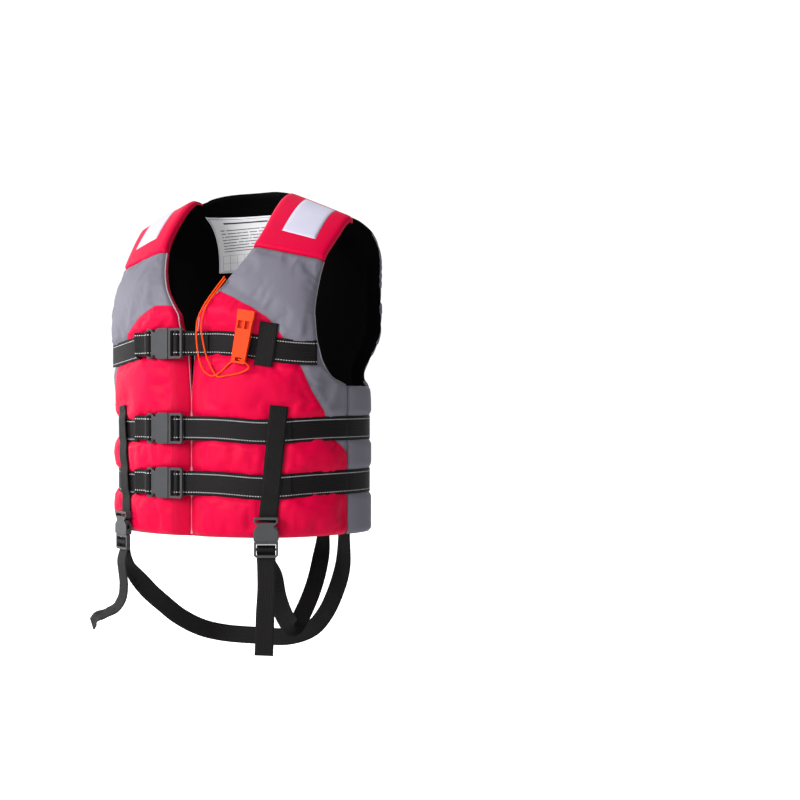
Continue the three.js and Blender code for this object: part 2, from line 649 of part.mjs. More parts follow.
// In a buckle's own frame x runs from the female's strap bar to the male's end bar, y is out of
// the jacket and z is across the webbing.
function buckleParts({ width, length, thick, webbing: strap }) {
  const half = width / 2;
  const wall = 2;
  const mouth = Math.round(length * 0.6);
  const bar = 3.5;
  const slot = [bar, bar + 4.5];
  const slotHalf = strap / 2 + 1;
  const pocket = [slot[1] + 2, mouth + 1];
  const pocketHalf = half - 2.8;
  const window = [pocket[0] + 2, pocket[0] + 17];
  const notch = [slot[1] - 1, pocket[0] + 4, pocket[0] + 11];

  const female = plate(bothSides([
    [0, half - 2], [1.5, half - 0.5], [notch[0], half - 0.5], [notch[1], half - 7],
    [notch[2], half], [mouth - 2, half], [mouth, half - 1.5],
  ]), [0, thick])
    .subtract(box(slot, [-1, thick + 1], [-slotHalf, slotHalf]))
    .subtract(box(pocket, [wall, thick - wall], [-pocketHalf, pocketHalf]))
    .subtract(box(window, [wall, thick - wall], [-half - 1, half + 1]));

  const inner = [wall + 0.4, thick - wall - 0.4];
  const base = mouth + CLEARANCE;
  const frameHalf = half - 0.5;
  const frame = [base, length];
  const windowA = [base + 4, base + (length - base) / 2 - 2];
  const windowB = [windowA[1] + 3.5, length - 3.5];
  const tongueHalf = 3;
  const floor = 2.2;
  const male = plate(bothSides([
    [frame[0], frameHalf - 1], [frame[0] + 1, frameHalf], [frame[1] - 3, frameHalf],
    [frame[1], frameHalf - 3],
  ]), [floor - 0.2, thick - 1.5])
    .subtract(box(windowA, [-1, thick], [-slotHalf, slotHalf]))
    .subtract(box(windowB, [-1, thick], [-slotHalf, slotHalf]))
    .subtract(box([windowB[1] - 1, length + 1], [-1, 5.2], [-slotHalf, slotHalf]))
    .subtract(box([windowA[1] - 1, windowB[0] + 1], [-1, 3.4], [-slotHalf, slotHalf]))
    .subtract(box([windowA[1] - 1, windowB[0] + 1], [thick - 3.6, thick], [-slotHalf, slotHalf]))
    .add(box([window[0] + 4, base + 1], inner, [-tongueHalf, tongueHalf]));

  // A prong: a round root beside the male's front bar, an arm and a head in the side window.
  const rootRadius = 2.4;
  const pivot = { x: mouth - rootRadius - 0.1, z: pocketHalf - 7.5 };
  const head = [window[0] + 1.5, window[0] + 8];
  const headOut = pocketHalf + 1.2;
  const arm = [
    [pivot.x, pivot.z - rootRadius], [head[1] + 4, pivot.z - 0.5], [head[0] + 1, pivot.z + 0.5],
    [head[0], pivot.z + 2], [head[0] + 1, headOut - 0.8], [head[0] + 2.5, headOut],
    [head[1] - 1, headOut], [head[1], headOut - 1.5], [head[1] + 2, pocketHalf - 1.2],
    [head[1] + 7, pivot.z + rootRadius + 0.4], [pivot.x, pivot.z + rootRadius],
  ];
  const root = new THREE.CylinderGeometry(rootRadius, rootRadius, inner[1] - inner[0], 12);
  root.translate(pivot.x, (inner[0] + inner[1]) / 2, pivot.z);
  const prong = plate(arm, inner).add(toSolid(root));
  return { female, male, prong, windowA, windowB, thick };
}

const PARTS = { belt: buckleParts(BELT_BUCKLE), strap: buckleParts(STRAP_BUCKLE) };
const flipZ = new THREE.Matrix4().makeScale(1, 1, -1);

function addBuckle(name, parts, matrix) {
  addNode(`${name}_buckle_female`, toGeometry(parts.female), plastic(), matrix);
  addNode(`${name}_buckle_male`, toGeometry(parts.male), plastic(), matrix);
  const prong = toGeometry(parts.prong);
  addNode(`${name}_prong_upper`, prong, plastic(), matrix);
  const lower = prong.clone().applyMatrix4(flipZ);
  const index = lower.getIndex().array;
  for (let i = 0; i < index.length; i += 3) {
    [index[i + 1], index[i + 2]] = [index[i + 2], index[i + 1]];
  }
  addNode(`${name}_prong_lower`, lower, plastic(), matrix);
}

const BUCKLE_LIFT = BELT_LIFT + WEBBING / 2 + CLEARANCE;

function beltBuckleMatrix(height, slack) {
  const angle = angleAtX(BELT_BUCKLE_X, false, height);
  const out = shellNormal(angle, height);
  const along = new THREE.Vector3().crossVectors(out, UP).negate();
  const start = offShell(angle, height, BUCKLE_LIFT + slack);
  start.addScaledVector(along, -BELT_BUCKLE.length / 2);
  return new THREE.Matrix4().makeBasis(along, out, UP).setPosition(start);
}

function strapBuckleMatrix(side) {
  const top = STRAP_BUCKLE_TOP;
  const angle = angleAtX(side * strapX(top - STRAP_BUCKLE.length / 2), false, top);
  const out = shellNormal(angle, top);
  const down = UP.clone().negate();
  const across = new THREE.Vector3().crossVectors(down, out);
  const start = offShell(angle, top, BUCKLE_LIFT + CLEARANCE);
  return new THREE.Matrix4().makeBasis(down, out, across).setPosition(start);
}

// Webbing that goes over the male's middle bar and out under its end bar, in the buckle's frame.
function barLoop({ windowA, windowB, thick }) {
  const low = WEBBING / 2 + 0.1 + WEBBING + CLEARANCE - BELT_LIFT + CLEARANCE;
  const high = thick - 3.6 + CLEARANCE + WEBBING / 2;
  return [
    [windowA[1] - 2, low + 1.6], [windowA[1] - 1.4, high - 1], [windowA[1] + 0.2, high],
    [windowB[0] - 0.2, high], [windowB[0] + 1.6, high - 1], [windowB[0] + 3.4, low + 1.2],
    [windowB[1] - 0.5, low + 0.9],
  ];
}

for (const { name, height, tailEnd, slack } of beltRows) {
  const matrix = beltBuckleMatrix(height, slack);
  addBuckle(name, PARTS.belt, matrix);
  const loop = barLoop(PARTS.belt).map(([x, y]) => new THREE.Vector3(x, y, 0).applyMatrix4(matrix));
  const tailStart = frontShareAtX(CHEST_TAIL_END / 3, height);
  const tailStop = frontShareAtX(tailEnd, height);
  const tail = beltStations(frontPanel, height, tailStart, tailStop, TAIL_LIFT + slack);
  const points = [...loop, ...tail.map(({ at }) => at)];
  const stations = stationsAlong(points, () => UP.clone().negate());
  addNode(`${name}_belt_tail`, ribbon(stations, BELT_WIDTH, WEBBING), webbing());
}

// ---------------------------------------------------------------- crotch straps

// Points are [x, y, height]. Each strap leaves its buckle downwards, goes between the legs and up
// to the back hem on the wearer's left.
const BACK_STRAP_LEFT_X = 104;
const BACK_STRAP_RIGHT_X = 141;
const crotchRoutes = {
  left: {
    strap: [[131, -124, -58], [129, -108, -92], [126, -80, -127], [122, -46, -149],
      [119, -8, -128], [116, 34, -88], [110, 66, -46], [BACK_STRAP_LEFT_X, 86, -4]],
    tail: [[131, -143, -74], [129, -144, -112], [128, -144, -150], [126, -143, -188]],
  },
  right: {
    strap: [[-125, -136, -54], [-110, -112, -92], [-100, -78, -122], [-88, -52, -145],
      [-66, -25, -165], [-40, 0, -176], [10, 24, -181], [62, 46, -182], [95, 63, -169],
      [112, 75, -146], [126, 84, -112], [137, 90, -68], [BACK_STRAP_RIGHT_X, 88, -4]],
    tail: [[-130, -149, -44], [-126, -152, -62], [-123, -153, -82], [-125, -154, -102],
      [-136, -155, -118], [-155, -157, -129], [-172, -158, -137], [-181, -158, -148]],
  },
};

function smoothPoints(points, perSpan) {
  const curve = new THREE.CatmullRomCurve3(points, false, 'centripetal');
  return curve.getPoints((points.length - 1) * perSpan);
}

for (const [side, sign] of [['left', 1], ['right', -1]]) {
  const matrix = strapBuckleMatrix(sign);
  addBuckle(`crotch_${side}`, PARTS.strap, matrix);
  const { strap, tail } = crotchRoutes[side];
  const toWorld = ([x, y]) => new THREE.Vector3(x, y, 0).applyMatrix4(matrix);
  const across = new THREE.Vector3().setFromMatrixColumn(matrix, 2);
  const rear = new THREE.Vector3(0.9, -0.35, 0).multiplyScalar(Math.sign(across.x));

  const loop = barLoop(PARTS.strap).map(toWorld);
  const tailPoints = smoothPoints([loop.at(-1), ...tail.map((p) => place(...p))], 2);
  const tailStations = stationsAlong([...loop.slice(0, -1), ...tailPoints], () => across);
  addNode(`crotch_tail_${side}`, ribbon(tailStations, STRAP_WIDTH, WEBBING), webbing());

  const under = STRAP_BUCKLE.length - 3;
  const start = [toWorld([under, 0.8]), toWorld([under + 10, 0])];
  const route = smoothPoints([...start, ...strap.map((p) => place(...p))], 2);
  const strapStations = stationsAlong(route, (t) => across.clone().lerp(rear, t * t));
  addNode(`crotch_strap_${side}`, ribbon(strapStations, STRAP_WIDTH, WEBBING), webbing());
}

// ---------------------------------------------------------------- whistle and its cord

const whistleLift = BELT_LIFT + CHEST_SLACK + WEBBING / 2 + 3 * CLEARANCE;
function whistleMatrix() {
  const at = ({ x, height }) => offShell(angleAtX(x, false, height), Math.min(height, 300), 0)
    .setZ(height - ORIGIN_HEIGHT);
  const foot = at(WHISTLE_FOOT);
  const head = at(WHISTLE_HEAD);
  const up = head.clone().sub(foot).normalize();
  const middle = (WHISTLE_FOOT.x + WHISTLE_HEAD.x) / 2;
  const out = shellNormal(angleAtX(middle, false, CHEST_BELT_HEIGHT), CHEST_BELT_HEIGHT);
  out.addScaledVector(up, -out.dot(up)).normalize();
  const across = new THREE.Vector3().crossVectors(out, up);
  foot.addScaledVector(out, whistleLift);
  return new THREE.Matrix4().makeBasis(across, out, up).setPosition(foot);
}

const EYE = { halfWidth: 5, foot: 3, head: 8.5 };
function whistleSolid() {
  const { length, width, thick } = WHISTLE;
  const half = width / 2;
  const body = plate([
    [-half + 2.5, 0], [half - 2.5, 0], [half - 1.5, 1], [half, length - 14], [half + 1, length - 12],
    [half + 1, length - 1], [half, length], [-half, length], [-half - 1, length - 1],
    [-half - 1, length - 12], [-half, length - 14], [-half + 1.5, 1],
  ], [0, thick]);
  const windows = [-1, 1].map((side) => {
    const near = side * 1.2;
    const far = side * (half - 2.6);
    return box([Math.min(near, far), Math.max(near, far)], [2.5, thick + 1], [length - 28, length - 16]);
  });
  const channels = [-1, 1].map((side) => {
    const near = side * 1.2;
    const far = side * (half - 2.6);
    return box([Math.min(near, far), Math.max(near, far)], [2.5, thick - 3], [length - 20, length + 1]);
  });
  const eye = box([-EYE.halfWidth, EYE.halfWidth], [-1, thick + 1], [EYE.foot, EYE.head]);
  return [...windows, ...channels, eye].reduce((solid, cut) => solid.subtract(cut), body);
}
const whistlePlace = whistleMatrix();
addNode('whistle', toGeometry(whistleSolid()), whistleOrange(), whistlePlace);

// The cord starts at the neck edge, runs down beside the front opening, through the whistle's eye
// and back up. Points are [x, height, lift off the shell].
const cordRoute = [
  [57, 392, 2], [44, 373, 2.2], [30, 351, 2.4], [23, 331, 4], [22, 314, 8.2], [23, 290, 8.2],
  [25, 268, 6], [31, 252, 3.2], [42, 244, 1.6], [53, 244, 1.2], [65, 251, 0.8], [76, 262, 0.7],
];
const cordReturn = [
  [101, 262, 15], [103, 255, 8], [96, 249, 3], [86, 246, 2], [72, 243.5, 2.4], [59, 242, 4.8],
  [50, 248, 5],
  [43, 260, 5.6], [38, 276, 8.2], [34, 296, 8.4], [31, 314, 8.4], [32, 333, 5.2], [38, 352, 4.2],
  [48, 370, 2.8], [60, 389, 2.4],
];

function cordPoint([x, height, lift]) {
  const angle = angleAtX(x, false, height);
  return offShell(angle, height, lift + CORD_DIAMETER / 2);
}

function cordCurve() {
  const middle = (EYE.foot + EYE.head) / 2;
  const inside = [[-2.5, -1.6], [-1, 2], [1, WHISTLE.thick - 2], [3, WHISTLE.thick + 1.6]];
  const through = inside.map(([x, y]) => new THREE.Vector3(x, y, middle).applyMatrix4(whistlePlace));
  return new THREE.CatmullRomCurve3([
    ...cordRoute.map(cordPoint), ...through, ...cordReturn.map(cordPoint),
  ], false, 'centripetal');
}

function cordSolid() {
  const sides = 8;
  const section = new THREE.Shape(Array.from({ length: sides }, (_, k) => {
    const turn = 2 * Math.PI * k / sides;
    return new THREE.Vector2(Math.cos(turn), Math.sin(turn)).multiplyScalar(CORD_DIAMETER / 2);
  }));
  return new THREE.ExtrudeGeometry(section, { steps: 96, extrudePath: cordCurve() });
}
addNode('whistle_cord', cordSolid(), whistleOrange());

export default jacket;
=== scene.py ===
"""The looks of the foam life jacket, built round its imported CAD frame."""

import math

import bpy
import numpy as np
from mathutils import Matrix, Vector
from mathutils.bvhtree import BVHTree


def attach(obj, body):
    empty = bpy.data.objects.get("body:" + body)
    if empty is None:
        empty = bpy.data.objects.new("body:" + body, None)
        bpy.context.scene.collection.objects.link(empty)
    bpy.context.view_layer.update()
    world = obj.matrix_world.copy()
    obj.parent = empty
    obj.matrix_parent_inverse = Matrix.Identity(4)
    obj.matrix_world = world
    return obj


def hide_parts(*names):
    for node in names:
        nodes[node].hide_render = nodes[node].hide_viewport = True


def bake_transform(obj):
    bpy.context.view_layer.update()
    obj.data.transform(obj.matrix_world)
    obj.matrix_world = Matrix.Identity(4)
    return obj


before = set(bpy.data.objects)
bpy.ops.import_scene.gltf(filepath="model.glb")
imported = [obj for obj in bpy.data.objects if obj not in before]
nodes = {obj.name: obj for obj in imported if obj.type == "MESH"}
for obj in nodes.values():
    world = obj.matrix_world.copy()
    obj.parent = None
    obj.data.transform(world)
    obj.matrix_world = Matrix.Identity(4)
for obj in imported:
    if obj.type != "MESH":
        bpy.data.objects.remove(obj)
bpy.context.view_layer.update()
MM = 0.001
SIDES = (("left", 1), ("right", -1))

# --- the jacket's outside surface
# A point of the shell is an angle round the body, in radians from its front, and a rise up from the hem.
HALF_WIDTH, FRONT_DEPTH, BACK_DEPTH = 214.0, 162.0, 112.0
WAIST_ROUND, BACK_ROUND = 2.25, 4.5
FRONT_LEANS, FRONT_RUN, BACK_LEANS, BACK_RUN = 335.0, 240.0, 425.0, 180.0
FRONT_RIDGE, BACK_RIDGE = FRONT_LEANS + FRONT_RUN, BACK_LEANS + BACK_RUN
SIDE_ANGLE, BACK_ANGLE = 81.0, 103.0
BACK_TOP, BACK_NECK = 591.0, 557.0
BELTS = {"chest": 293.0, "waist_upper": 164.0, "waist_lower": 81.0}
WAIST = ("waist_lower", "waist_upper")
BELT_WIDTH, STRAP_WIDTH, WEBBING = 37.0, 28.0, 1.6


def link(name, data):
    """A new object of this data, in the scene."""
    obj = bpy.data.objects.new(name, data)
    bpy.context.scene.collection.objects.link(obj)
    return obj


def unit(vectors):
    return vectors / np.linalg.norm(vectors, axis=-1, keepdims=True)


def lengths(points):
    """How far each point is along its line, or along its row of a grid."""
    step = np.linalg.norm(np.diff(points, axis=-2), axis=-1)
    return np.concatenate([np.zeros_like(step[..., :1]), np.cumsum(step, -1)], -1)


def smooth(a, b, x):
    t = np.clip((x - a) / (b - a), 0.0, 1.0)
    return t * t * (3 - 2 * t)


def ridge_height(x):
    return 578.0 - 0.42 * np.hypot(x, 25.0)


ORIGIN = float(ridge_height(152.0)) - 12.0


def back_power(rise):
    """The back's outline is round at the waist and flat across the shoulder blades."""
    return WAIST_ROUND + (BACK_ROUND - WAIST_ROUND) * smooth(230, 330, rise)


def outline(angle, rise):
    """The shell's plan, x and y, at each angle round the body from its front."""
    s, c = np.abs(np.sin(angle)), np.cos(angle)
    back = c < 0
    power = np.where(back, back_power(rise), WAIST_ROUND)
    depth = np.where(back, BACK_DEPTH, FRONT_DEPTH)
    radius = ((s / HALF_WIDTH) ** power + (np.abs(c) / depth) ** power) ** (-1 / power)
    radius = radius + fullness(np.degrees(np.arctan2(s, c)), rise)
    return radius * np.sin(angle), -radius * c


def fullness(turn, rise):
    """How far the worn foam stands out from, or in from, the plain outline, in millimetres."""
    low = 1 - smooth(200, 290, rise)
    chest = smooth(225, 300, rise) * (1 - smooth(430, 540, rise))
    upper = smooth(230, 330, rise) * (1 - smooth(520, 600, rise))
    bulges = ((9.0, 106, 20, low), (-4.0, 67, 13, low), (8.0, 66, 13, chest), (9.0, 112, 15, upper))
    return sum(
        out * np.exp(-(((turn - middle) / width) ** 2)) * where for out, middle, width, where in bulges
    )


def shell(angle, rise):
    """The outside surface: upright at the waist, then curving in to the shoulders' ridge."""
    angle, rise = np.broadcast_arrays(np.asarray(angle, float), np.asarray(rise, float))
    x, y = outline(angle, rise)
    t = np.clip((rise - FRONT_LEANS) / FRONT_RUN, 0, 1)
    u = 1 - t
    forward = u**3 + 3 * u * u * t + 3 * u * t * t * 0.26
    up = 3 * u * u * t * 0.3 + 3 * u * t * t + t**3
    ridge = ridge_height(x)
    front_h = np.where(t > 0, FRONT_LEANS + (ridge - FRONT_LEANS) * up, rise)
    q = np.clip((rise - BACK_LEANS) / BACK_RUN, 0, 1) * math.pi / 2
    back_h = np.where(q > 0, BACK_LEANS + (ridge - BACK_LEANS) * np.sin(q), rise)
    front = np.cos(angle) >= 0
    height = np.where(front, front_h, back_h)
    return np.stack([x, y * np.where(front, forward, np.cos(q)), height - ORIGIN], -1)


def shell_normal(angle, rise):
    angle, rise = np.broadcast_arrays(np.asarray(angle, float), np.asarray(rise, float))
    top = np.where(np.cos(angle) >= 0, FRONT_RIDGE, BACK_RIDGE)
    level = np.minimum(rise, top - 1.0)
    across = shell(angle + 0.002, level) - shell(angle - 0.002, level)
    along = shell(angle, level + 0.5) - shell(angle, level - 0.5)
    return unit(np.cross(across, along))


def off(angle, rise, lift):
    """Points lifted off the shell along its normal."""
    return shell(angle, rise) + shell_normal(angle, rise) * np.asarray(lift, float)[..., None]


def angle_at(x, back, rise=0.0):
    """The angle round the body of the plain outline's point at this x."""
    x = np.asarray(x, float)
    power = back_power(np.asarray(rise, float)) if back else WAIST_ROUND
    depth = BACK_DEPTH if back else FRONT_DEPTH
    y = depth * (1 - np.abs(x / HALF_WIDTH) ** power) ** (1 / power)
    return np.arctan2(x, -y if back else y)


def curve_through(points):
    """A smooth curve through (rise, value) points, flat beyond its ends."""
    xs, ys = np.array(points, float).T
    slope = np.zeros(len(xs))
    slope[1:-1] = (ys[2:] - ys[:-2]) / (xs[2:] - xs[:-2])

    def value(rise):
        r = np.clip(np.asarray(rise, float), xs[0], xs[-1])
        i = np.clip(np.searchsorted(xs, r, side="right") - 1, 0, len(xs) - 2)
        h = xs[i + 1] - xs[i]
        t = (r - xs[i]) / h
        return (
            (2 * t**3 - 3 * t**2 + 1) * ys[i]
            + (t**3 - 2 * t**2 + t) * slope[i] * h
            + (3 * t**2 - 2 * t**3) * ys[i + 1]
            + (t**3 - t**2) * slope[i + 1] * h
        )

    return value


neck_x = curve_through([(285, 2.5), (318, 18), (342, 24), (387, 57), (438, 83), (480, 90)])
arm_angle = curve_through([
    (230, SIDE_ANGLE), (239, 74.5), (254, 69.7), (272, 66.4), (306, 63.6), (395, 62.6), (452, 62.8),
    (511, 68.5), (575, 71),
])
back_edge = curve_through([
    (230, BACK_ANGLE), (239, 107), (254, 109.6), (278, 110.2), (330, 109.2), (480, 109.4), (560, 111.6),
    (590, 112.3),
])
front_thick = curve_through([(300, 26), (441, 17), (575, 12)])
back_thick = curve_through([(425, 26), (591, 12)])


def front_in(rise):
    """The opening's edge: closed at the waist, it starts to part under the chest belt."""
    parting = 5.0 * smooth(195, 280, rise) * (1 - smooth(285, 325, rise))
    return angle_at(neck_x(rise) - 1.7 + parting, False)


def front_out(rise):
    return np.radians(arm_angle(rise))


# --- camera and floor
AZIMUTH, DISTANCE, EYE_HEIGHT = math.radians(32), 2.11, 207.0
TURN_RIGHT = math.radians(7.0)


def build_camera():
    data = bpy.data.cameras.new("camera")
    data.lens, data.sensor_width, data.clip_end = 57.6, 36.0, 50.0
    cam = link("camera", data)
    reach = (math.sin(AZIMUTH), -math.cos(AZIMUTH))
    cam.location = (DISTANCE * reach[0], DISTANCE * reach[1], (EYE_HEIGHT - ORIGIN) * MM)
    heading = AZIMUTH - TURN_RIGHT
    look = Vector((-math.sin(heading), math.cos(heading), 0))
    cam.rotation_euler = look.to_track_quat("-Z", "Y").to_euler()
    bpy.context.scene.camera = cam


build_camera()


# --- materials
class Tree:
    """A node tree, with short names for what the looks use."""

    def __init__(self, tree):
        self.tree = tree

    def node(self, kind, **props):
        n = self.tree.nodes.new(kind)
        for key, value in props.items():
            setattr(n, key, value)
        return n

    def put(self, socket, value):
        if isinstance(value, bpy.types.NodeSocket):
            self.tree.links.new(value, socket)
        else:
            socket.default_value = value

    def math(self, operation, *values):
        n = self.node("ShaderNodeMath", operation=operation)
        for socket, value in zip(n.inputs, values):
            self.put(socket, value)
        return n.outputs[0]

    def camera_ray(self):
        return self.node("ShaderNodeLightPath").outputs["Is Camera Ray"]


class Shader(Tree):
    """A material's node tree."""

    def __init__(self, name):
        self.material = bpy.data.materials.new(name)
        self.material.use_nodes = True
        super().__init__(self.material.node_tree)
        self.bsdf = self.tree.nodes["Principled BSDF"]
        self.height = None

    def mix(self, factor, a, b):
        n = self.node("ShaderNodeMix", data_type="RGBA")
        self.put(n.inputs["Factor"], factor)
        self.put(n.inputs["A"], (*a, 1) if isinstance(a, tuple) else a)
        self.put(n.inputs["B"], (*b, 1) if isinstance(b, tuple) else b)
        return n.outputs["Result"]

    def attribute(self, name, output="Fac"):
        return self.node("ShaderNodeAttribute", attribute_name=name).outputs[output]

    def noise(self, scale, detail=3.0, own=False):
        """Noise over the piece's rest position, with scale cells to a millimetre."""
        if own:
            place = self.node("ShaderNodeTexCoord").outputs["Object"]
        else:
            place = self.attribute("rest", "Vector")
        n = self.node("ShaderNodeTexNoise")
        self.put(n.inputs["Vector"], place)
        n.inputs["Scale"].default_value = scale / MM
        n.inputs["Detail"].default_value = detail
        return n.outputs["Fac"]

    def band(self, value, low, high, soft):
        """1 where value lies from low to high, with soft edges."""
        up = self.math("MULTIPLY_ADD", value, 1 / soft, -low / soft)
        down = self.math("MULTIPLY_ADD", value, -1 / soft, high / soft)
        n = self.math("MINIMUM", up, down)
        return self.math("MINIMUM", self.math("MAXIMUM", n, 0.0), 1.0)

    def above(self, value):
        """1 where a signed distance is above 0."""
        return self.band(value, 0.0, FAR, 0.35)

    def wave(self, value, pitch):
        return self.math("SINE", self.math("MULTIPLY", value, 2 * math.pi / pitch))

    def bump(self, height, strength, distance):
        n = self.node("ShaderNodeBump")
        n.inputs["Strength"].default_value = strength
        n.inputs["Distance"].default_value = distance * MM
        self.put(n.inputs["Height"], height)
        if self.height is not None:
            self.tree.links.new(self.height, n.inputs["Normal"])
        self.height = n.outputs["Normal"]
        self.tree.links.new(self.height, self.bsdf.inputs["Normal"])

    def set(self, **values):
        for key, value in values.items():
            self.put(self.bsdf.inputs[key.replace("_", " ")], value)


FAR = 1e4  # past any distance on the jacket, in millimetres


def weave_height(s, pitch):
    """A plain weave's height, from two crossed waves of the surface's own coordinates."""
    return s.math("MULTIPLY", s.wave(s.attribute("along"), pitch), s.wave(s.attribute("across"), pitch))


def cover_cloth():
    """The fronts' and back's cover: red or grey by its zone, and painted shade: a darker red painted on the
    strip at the opening, whose cloth is the same red.
    """
    s = Shader("cover_cloth")
    zone, strip_side = s.attribute("zone"), s.attribute("strip")
    tone = s.noise(0.012, 4)
    red = s.mix(tone, (0.51, 0.0001, 0.031), (0.59, 0.0002, 0.041))
    # Painted shade: the strip beside the opening gets this darker red for the shade it lies in; its cloth is
    # the same red.
    shaded_red = s.mix(tone, (0.44, 0.0001, 0.025), (0.52, 0.0002, 0.034))
    grey = s.mix(tone, (0.142, 0.136, 0.168), (0.162, 0.156, 0.19))
    cloth = s.mix(s.above(zone), grey, s.mix(s.above(strip_side), red, shaded_red))
    seam = s.math("MAXIMUM", s.band(zone, -0.55, 0.55, 0.5), s.band(strip_side, -0.45, 0.45, 0.5))
    cloth = s.mix(s.math("MULTIPLY", seam, 0.55), cloth, (0.02, 0.004, 0.006))
    s.set(Base_Color=cloth, Roughness=0.48, Specular_IOR_Level=0.06, Sheen_Weight=0.02, Sheen_Roughness=0.4)
    s.bump(s.noise(0.035, 5), 0.35, 3.0)
    s.bump(weave_height(s, 0.9), 0.10, 0.12)
    return s.material


def plain_cloth(name, low, high, roughness, sheen, pitch=0.9):
    s = Shader(name)
    tone = s.mix(s.noise(0.02, 4), low, high)
    s.set(Base_Color=tone, Roughness=roughness, Specular_IOR_Level=0.03, Sheen_Weight=sheen)
    s.bump(s.noise(0.05, 4), 0.3, 2.0)
    s.bump(weave_height(s, pitch), 0.15, 0.15)
    return s.material


def webbing_cloth(name, width, dashes):
    """Black ribbed webbing, with or without a white dashed thread along each edge."""
    s = Shader(name)
    along, across = s.attribute("along"), s.attribute("across")
    rib, pick = s.wave(across, 2.4), s.wave(along, 1.6)
    worn = s.mix(s.noise(0.05, 4), (0.0022, 0.0018, 0.002), (0.005, 0.0042, 0.0045))
    colour = s.mix(s.math("MULTIPLY_ADD", rib, 0.25, 0.25), worn, (0.010, 0.009, 0.0095))
    if dashes:
        row = s.band(s.math("ABSOLUTE", across), width / 2 - 5.4, width / 2 - 4.0, 0.3)
        beat = s.math("FRACT", s.math("MULTIPLY", along, 1 / 4.0))
        dash = s.math("MULTIPLY", row, s.band(beat, 0.2, 0.74, 0.1))
        dash = s.math("MULTIPLY", dash, s.attribute("face_out"))
        colour = s.mix(dash, colour, (0.74, 0.74, 0.76))
        s.bump(dash, 0.6, 0.5)
    s.set(Base_Color=colour, Roughness=0.55, Specular_IOR_Level=0.12)
    s.bump(s.math("MULTIPLY_ADD", pick, 0.35, rib), 0.5, 0.3)
    return s.material


def moulded(name, low, high, roughness, gloss=0.4):
    s = Shader(name)
    tone = s.mix(s.noise(0.06, 3, own=True), low, high)
    s.set(Base_Color=tone, Roughness=roughness, Specular_IOR_Level=gloss)
    s.bump(s.noise(1.6, 2, own=True), 0.12, 0.12)
    return s.material


def tape_silver():
    """Reflective tape, with a small diamond pattern pressed in."""
    s = Shader("tape_silver")
    tone = s.mix(s.noise(0.04, 3), (0.43, 0.42, 0.53), (0.50, 0.49, 0.60))
    along, across = s.attribute("along"), s.attribute("across")
    crossed = [s.wave(s.math(way, along, across), 3.0) for way in ("ADD", "SUBTRACT")]
    s.set(Base_Color=tone, Roughness=0.38)
    s.bump(s.math("MAXIMUM", *crossed), 0.18, 0.15)
    return s.material


LABEL_WIDE, LABEL_HIGH, LINE_PITCH = 132.0, 95.0, 5.0


def label_cloth():
    """A white printed label: a frame, a heading bar, rows of plain bars and a table of boxes."""
    s = Shader("label_cloth")
    h, x = s.attribute("along"), s.attribute("across")

    def box(low, high, left, right, soft=0.3):
        return s.math("MULTIPLY", s.band(h, low, high, soft), s.band(x, left, right, soft))

    line = s.math("MULTIPLY", h, 1 / LINE_PITCH)
    stretched = s.node("ShaderNodeCombineXYZ")
    s.put(stretched.inputs[0], s.math("MULTIPLY", x, 0.16))
    s.put(stretched.inputs[1], s.math("FLOOR", line))
    words = s.node("ShaderNodeTexNoise")
    s.put(words.inputs["Vector"], stretched.outputs[0])
    words.inputs["Scale"].default_value = 1.0
    rows = s.math("MULTIPLY", s.band(s.math("FRACT", line), 0.25, 0.62, 0.12), box(40, 80, 12, 120, 0.5))
    ink = s.math("MULTIPLY", rows, s.band(words.outputs["Fac"], 0.4, 2, 0.04))
    for bar in ((86, 88.5, 22, 110), (4, 4.7, 8, 124), (34, 34.7, 8, 124), (19, 19.6, 8, 124)):
        ink = s.math("MAXIMUM", ink, box(*bar))
    column = s.math("FRACT", s.math("MULTIPLY", s.math("SUBTRACT", x, 8.0), 1 / 14.5))
    grid = s.math("MULTIPLY", s.band(column, 0.0, 0.05, 0.02), box(4, 34, 8, 125))
    ink = s.math("MAXIMUM", ink, grid)
    far = s.math("MINIMUM", s.math("SUBTRACT", LABEL_WIDE, x), s.math("SUBTRACT", LABEL_HIGH, h))
    edge = s.math("MINIMUM", s.math("MINIMUM", x, h), far)
    ink = s.math("MAXIMUM", ink, s.band(edge, 1.6, 2.5, 0.3))
    tone = s.mix(ink, (0.68, 0.68, 0.70), (0.02, 0.02, 0.025))
    s.set(Base_Color=tone, Roughness=0.6, Specular_IOR_Level=0.2)
    return s.material


MATERIALS = {
    "cover": cover_cloth(),
    "gusset": plain_cloth("gusset_cloth", (0.5, 0.0015, 0.03), (0.6, 0.002, 0.04), 0.55, 0.03),
    "grey_edge": plain_cloth("grey_cloth", (0.11, 0.105, 0.125), (0.14, 0.135, 0.16), 0.55, 0.03),
    "lining": plain_cloth("lining_cloth", (0.0006, 0.0006, 0.0008), (0.0014, 0.0014, 0.0016), 0.9, 0.0, 1.6),
    "piping": plain_cloth("piping_cloth", (0.30, 0.29, 0.33), (0.36, 0.35, 0.39), 0.6, 0.03),
    "belt": webbing_cloth("belt_webbing", BELT_WIDTH, True),
    "strap": webbing_cloth("strap_webbing", STRAP_WIDTH, False),
    "tape": tape_silver(),
    "label": label_cloth(),
    "plastic": moulded("buckle_plastic", (0.026, 0.027, 0.030), (0.040, 0.041, 0.045), 0.4),
    "whistle": moulded("whistle_plastic", (0.74, 0.038, 0.0), (0.80, 0.048, 0.0), 0.38, 0.16),
    "cord": moulded("cord_orange", (0.74, 0.05, 0.0), (0.82, 0.065, 0.0), 0.5, 0.1),
}


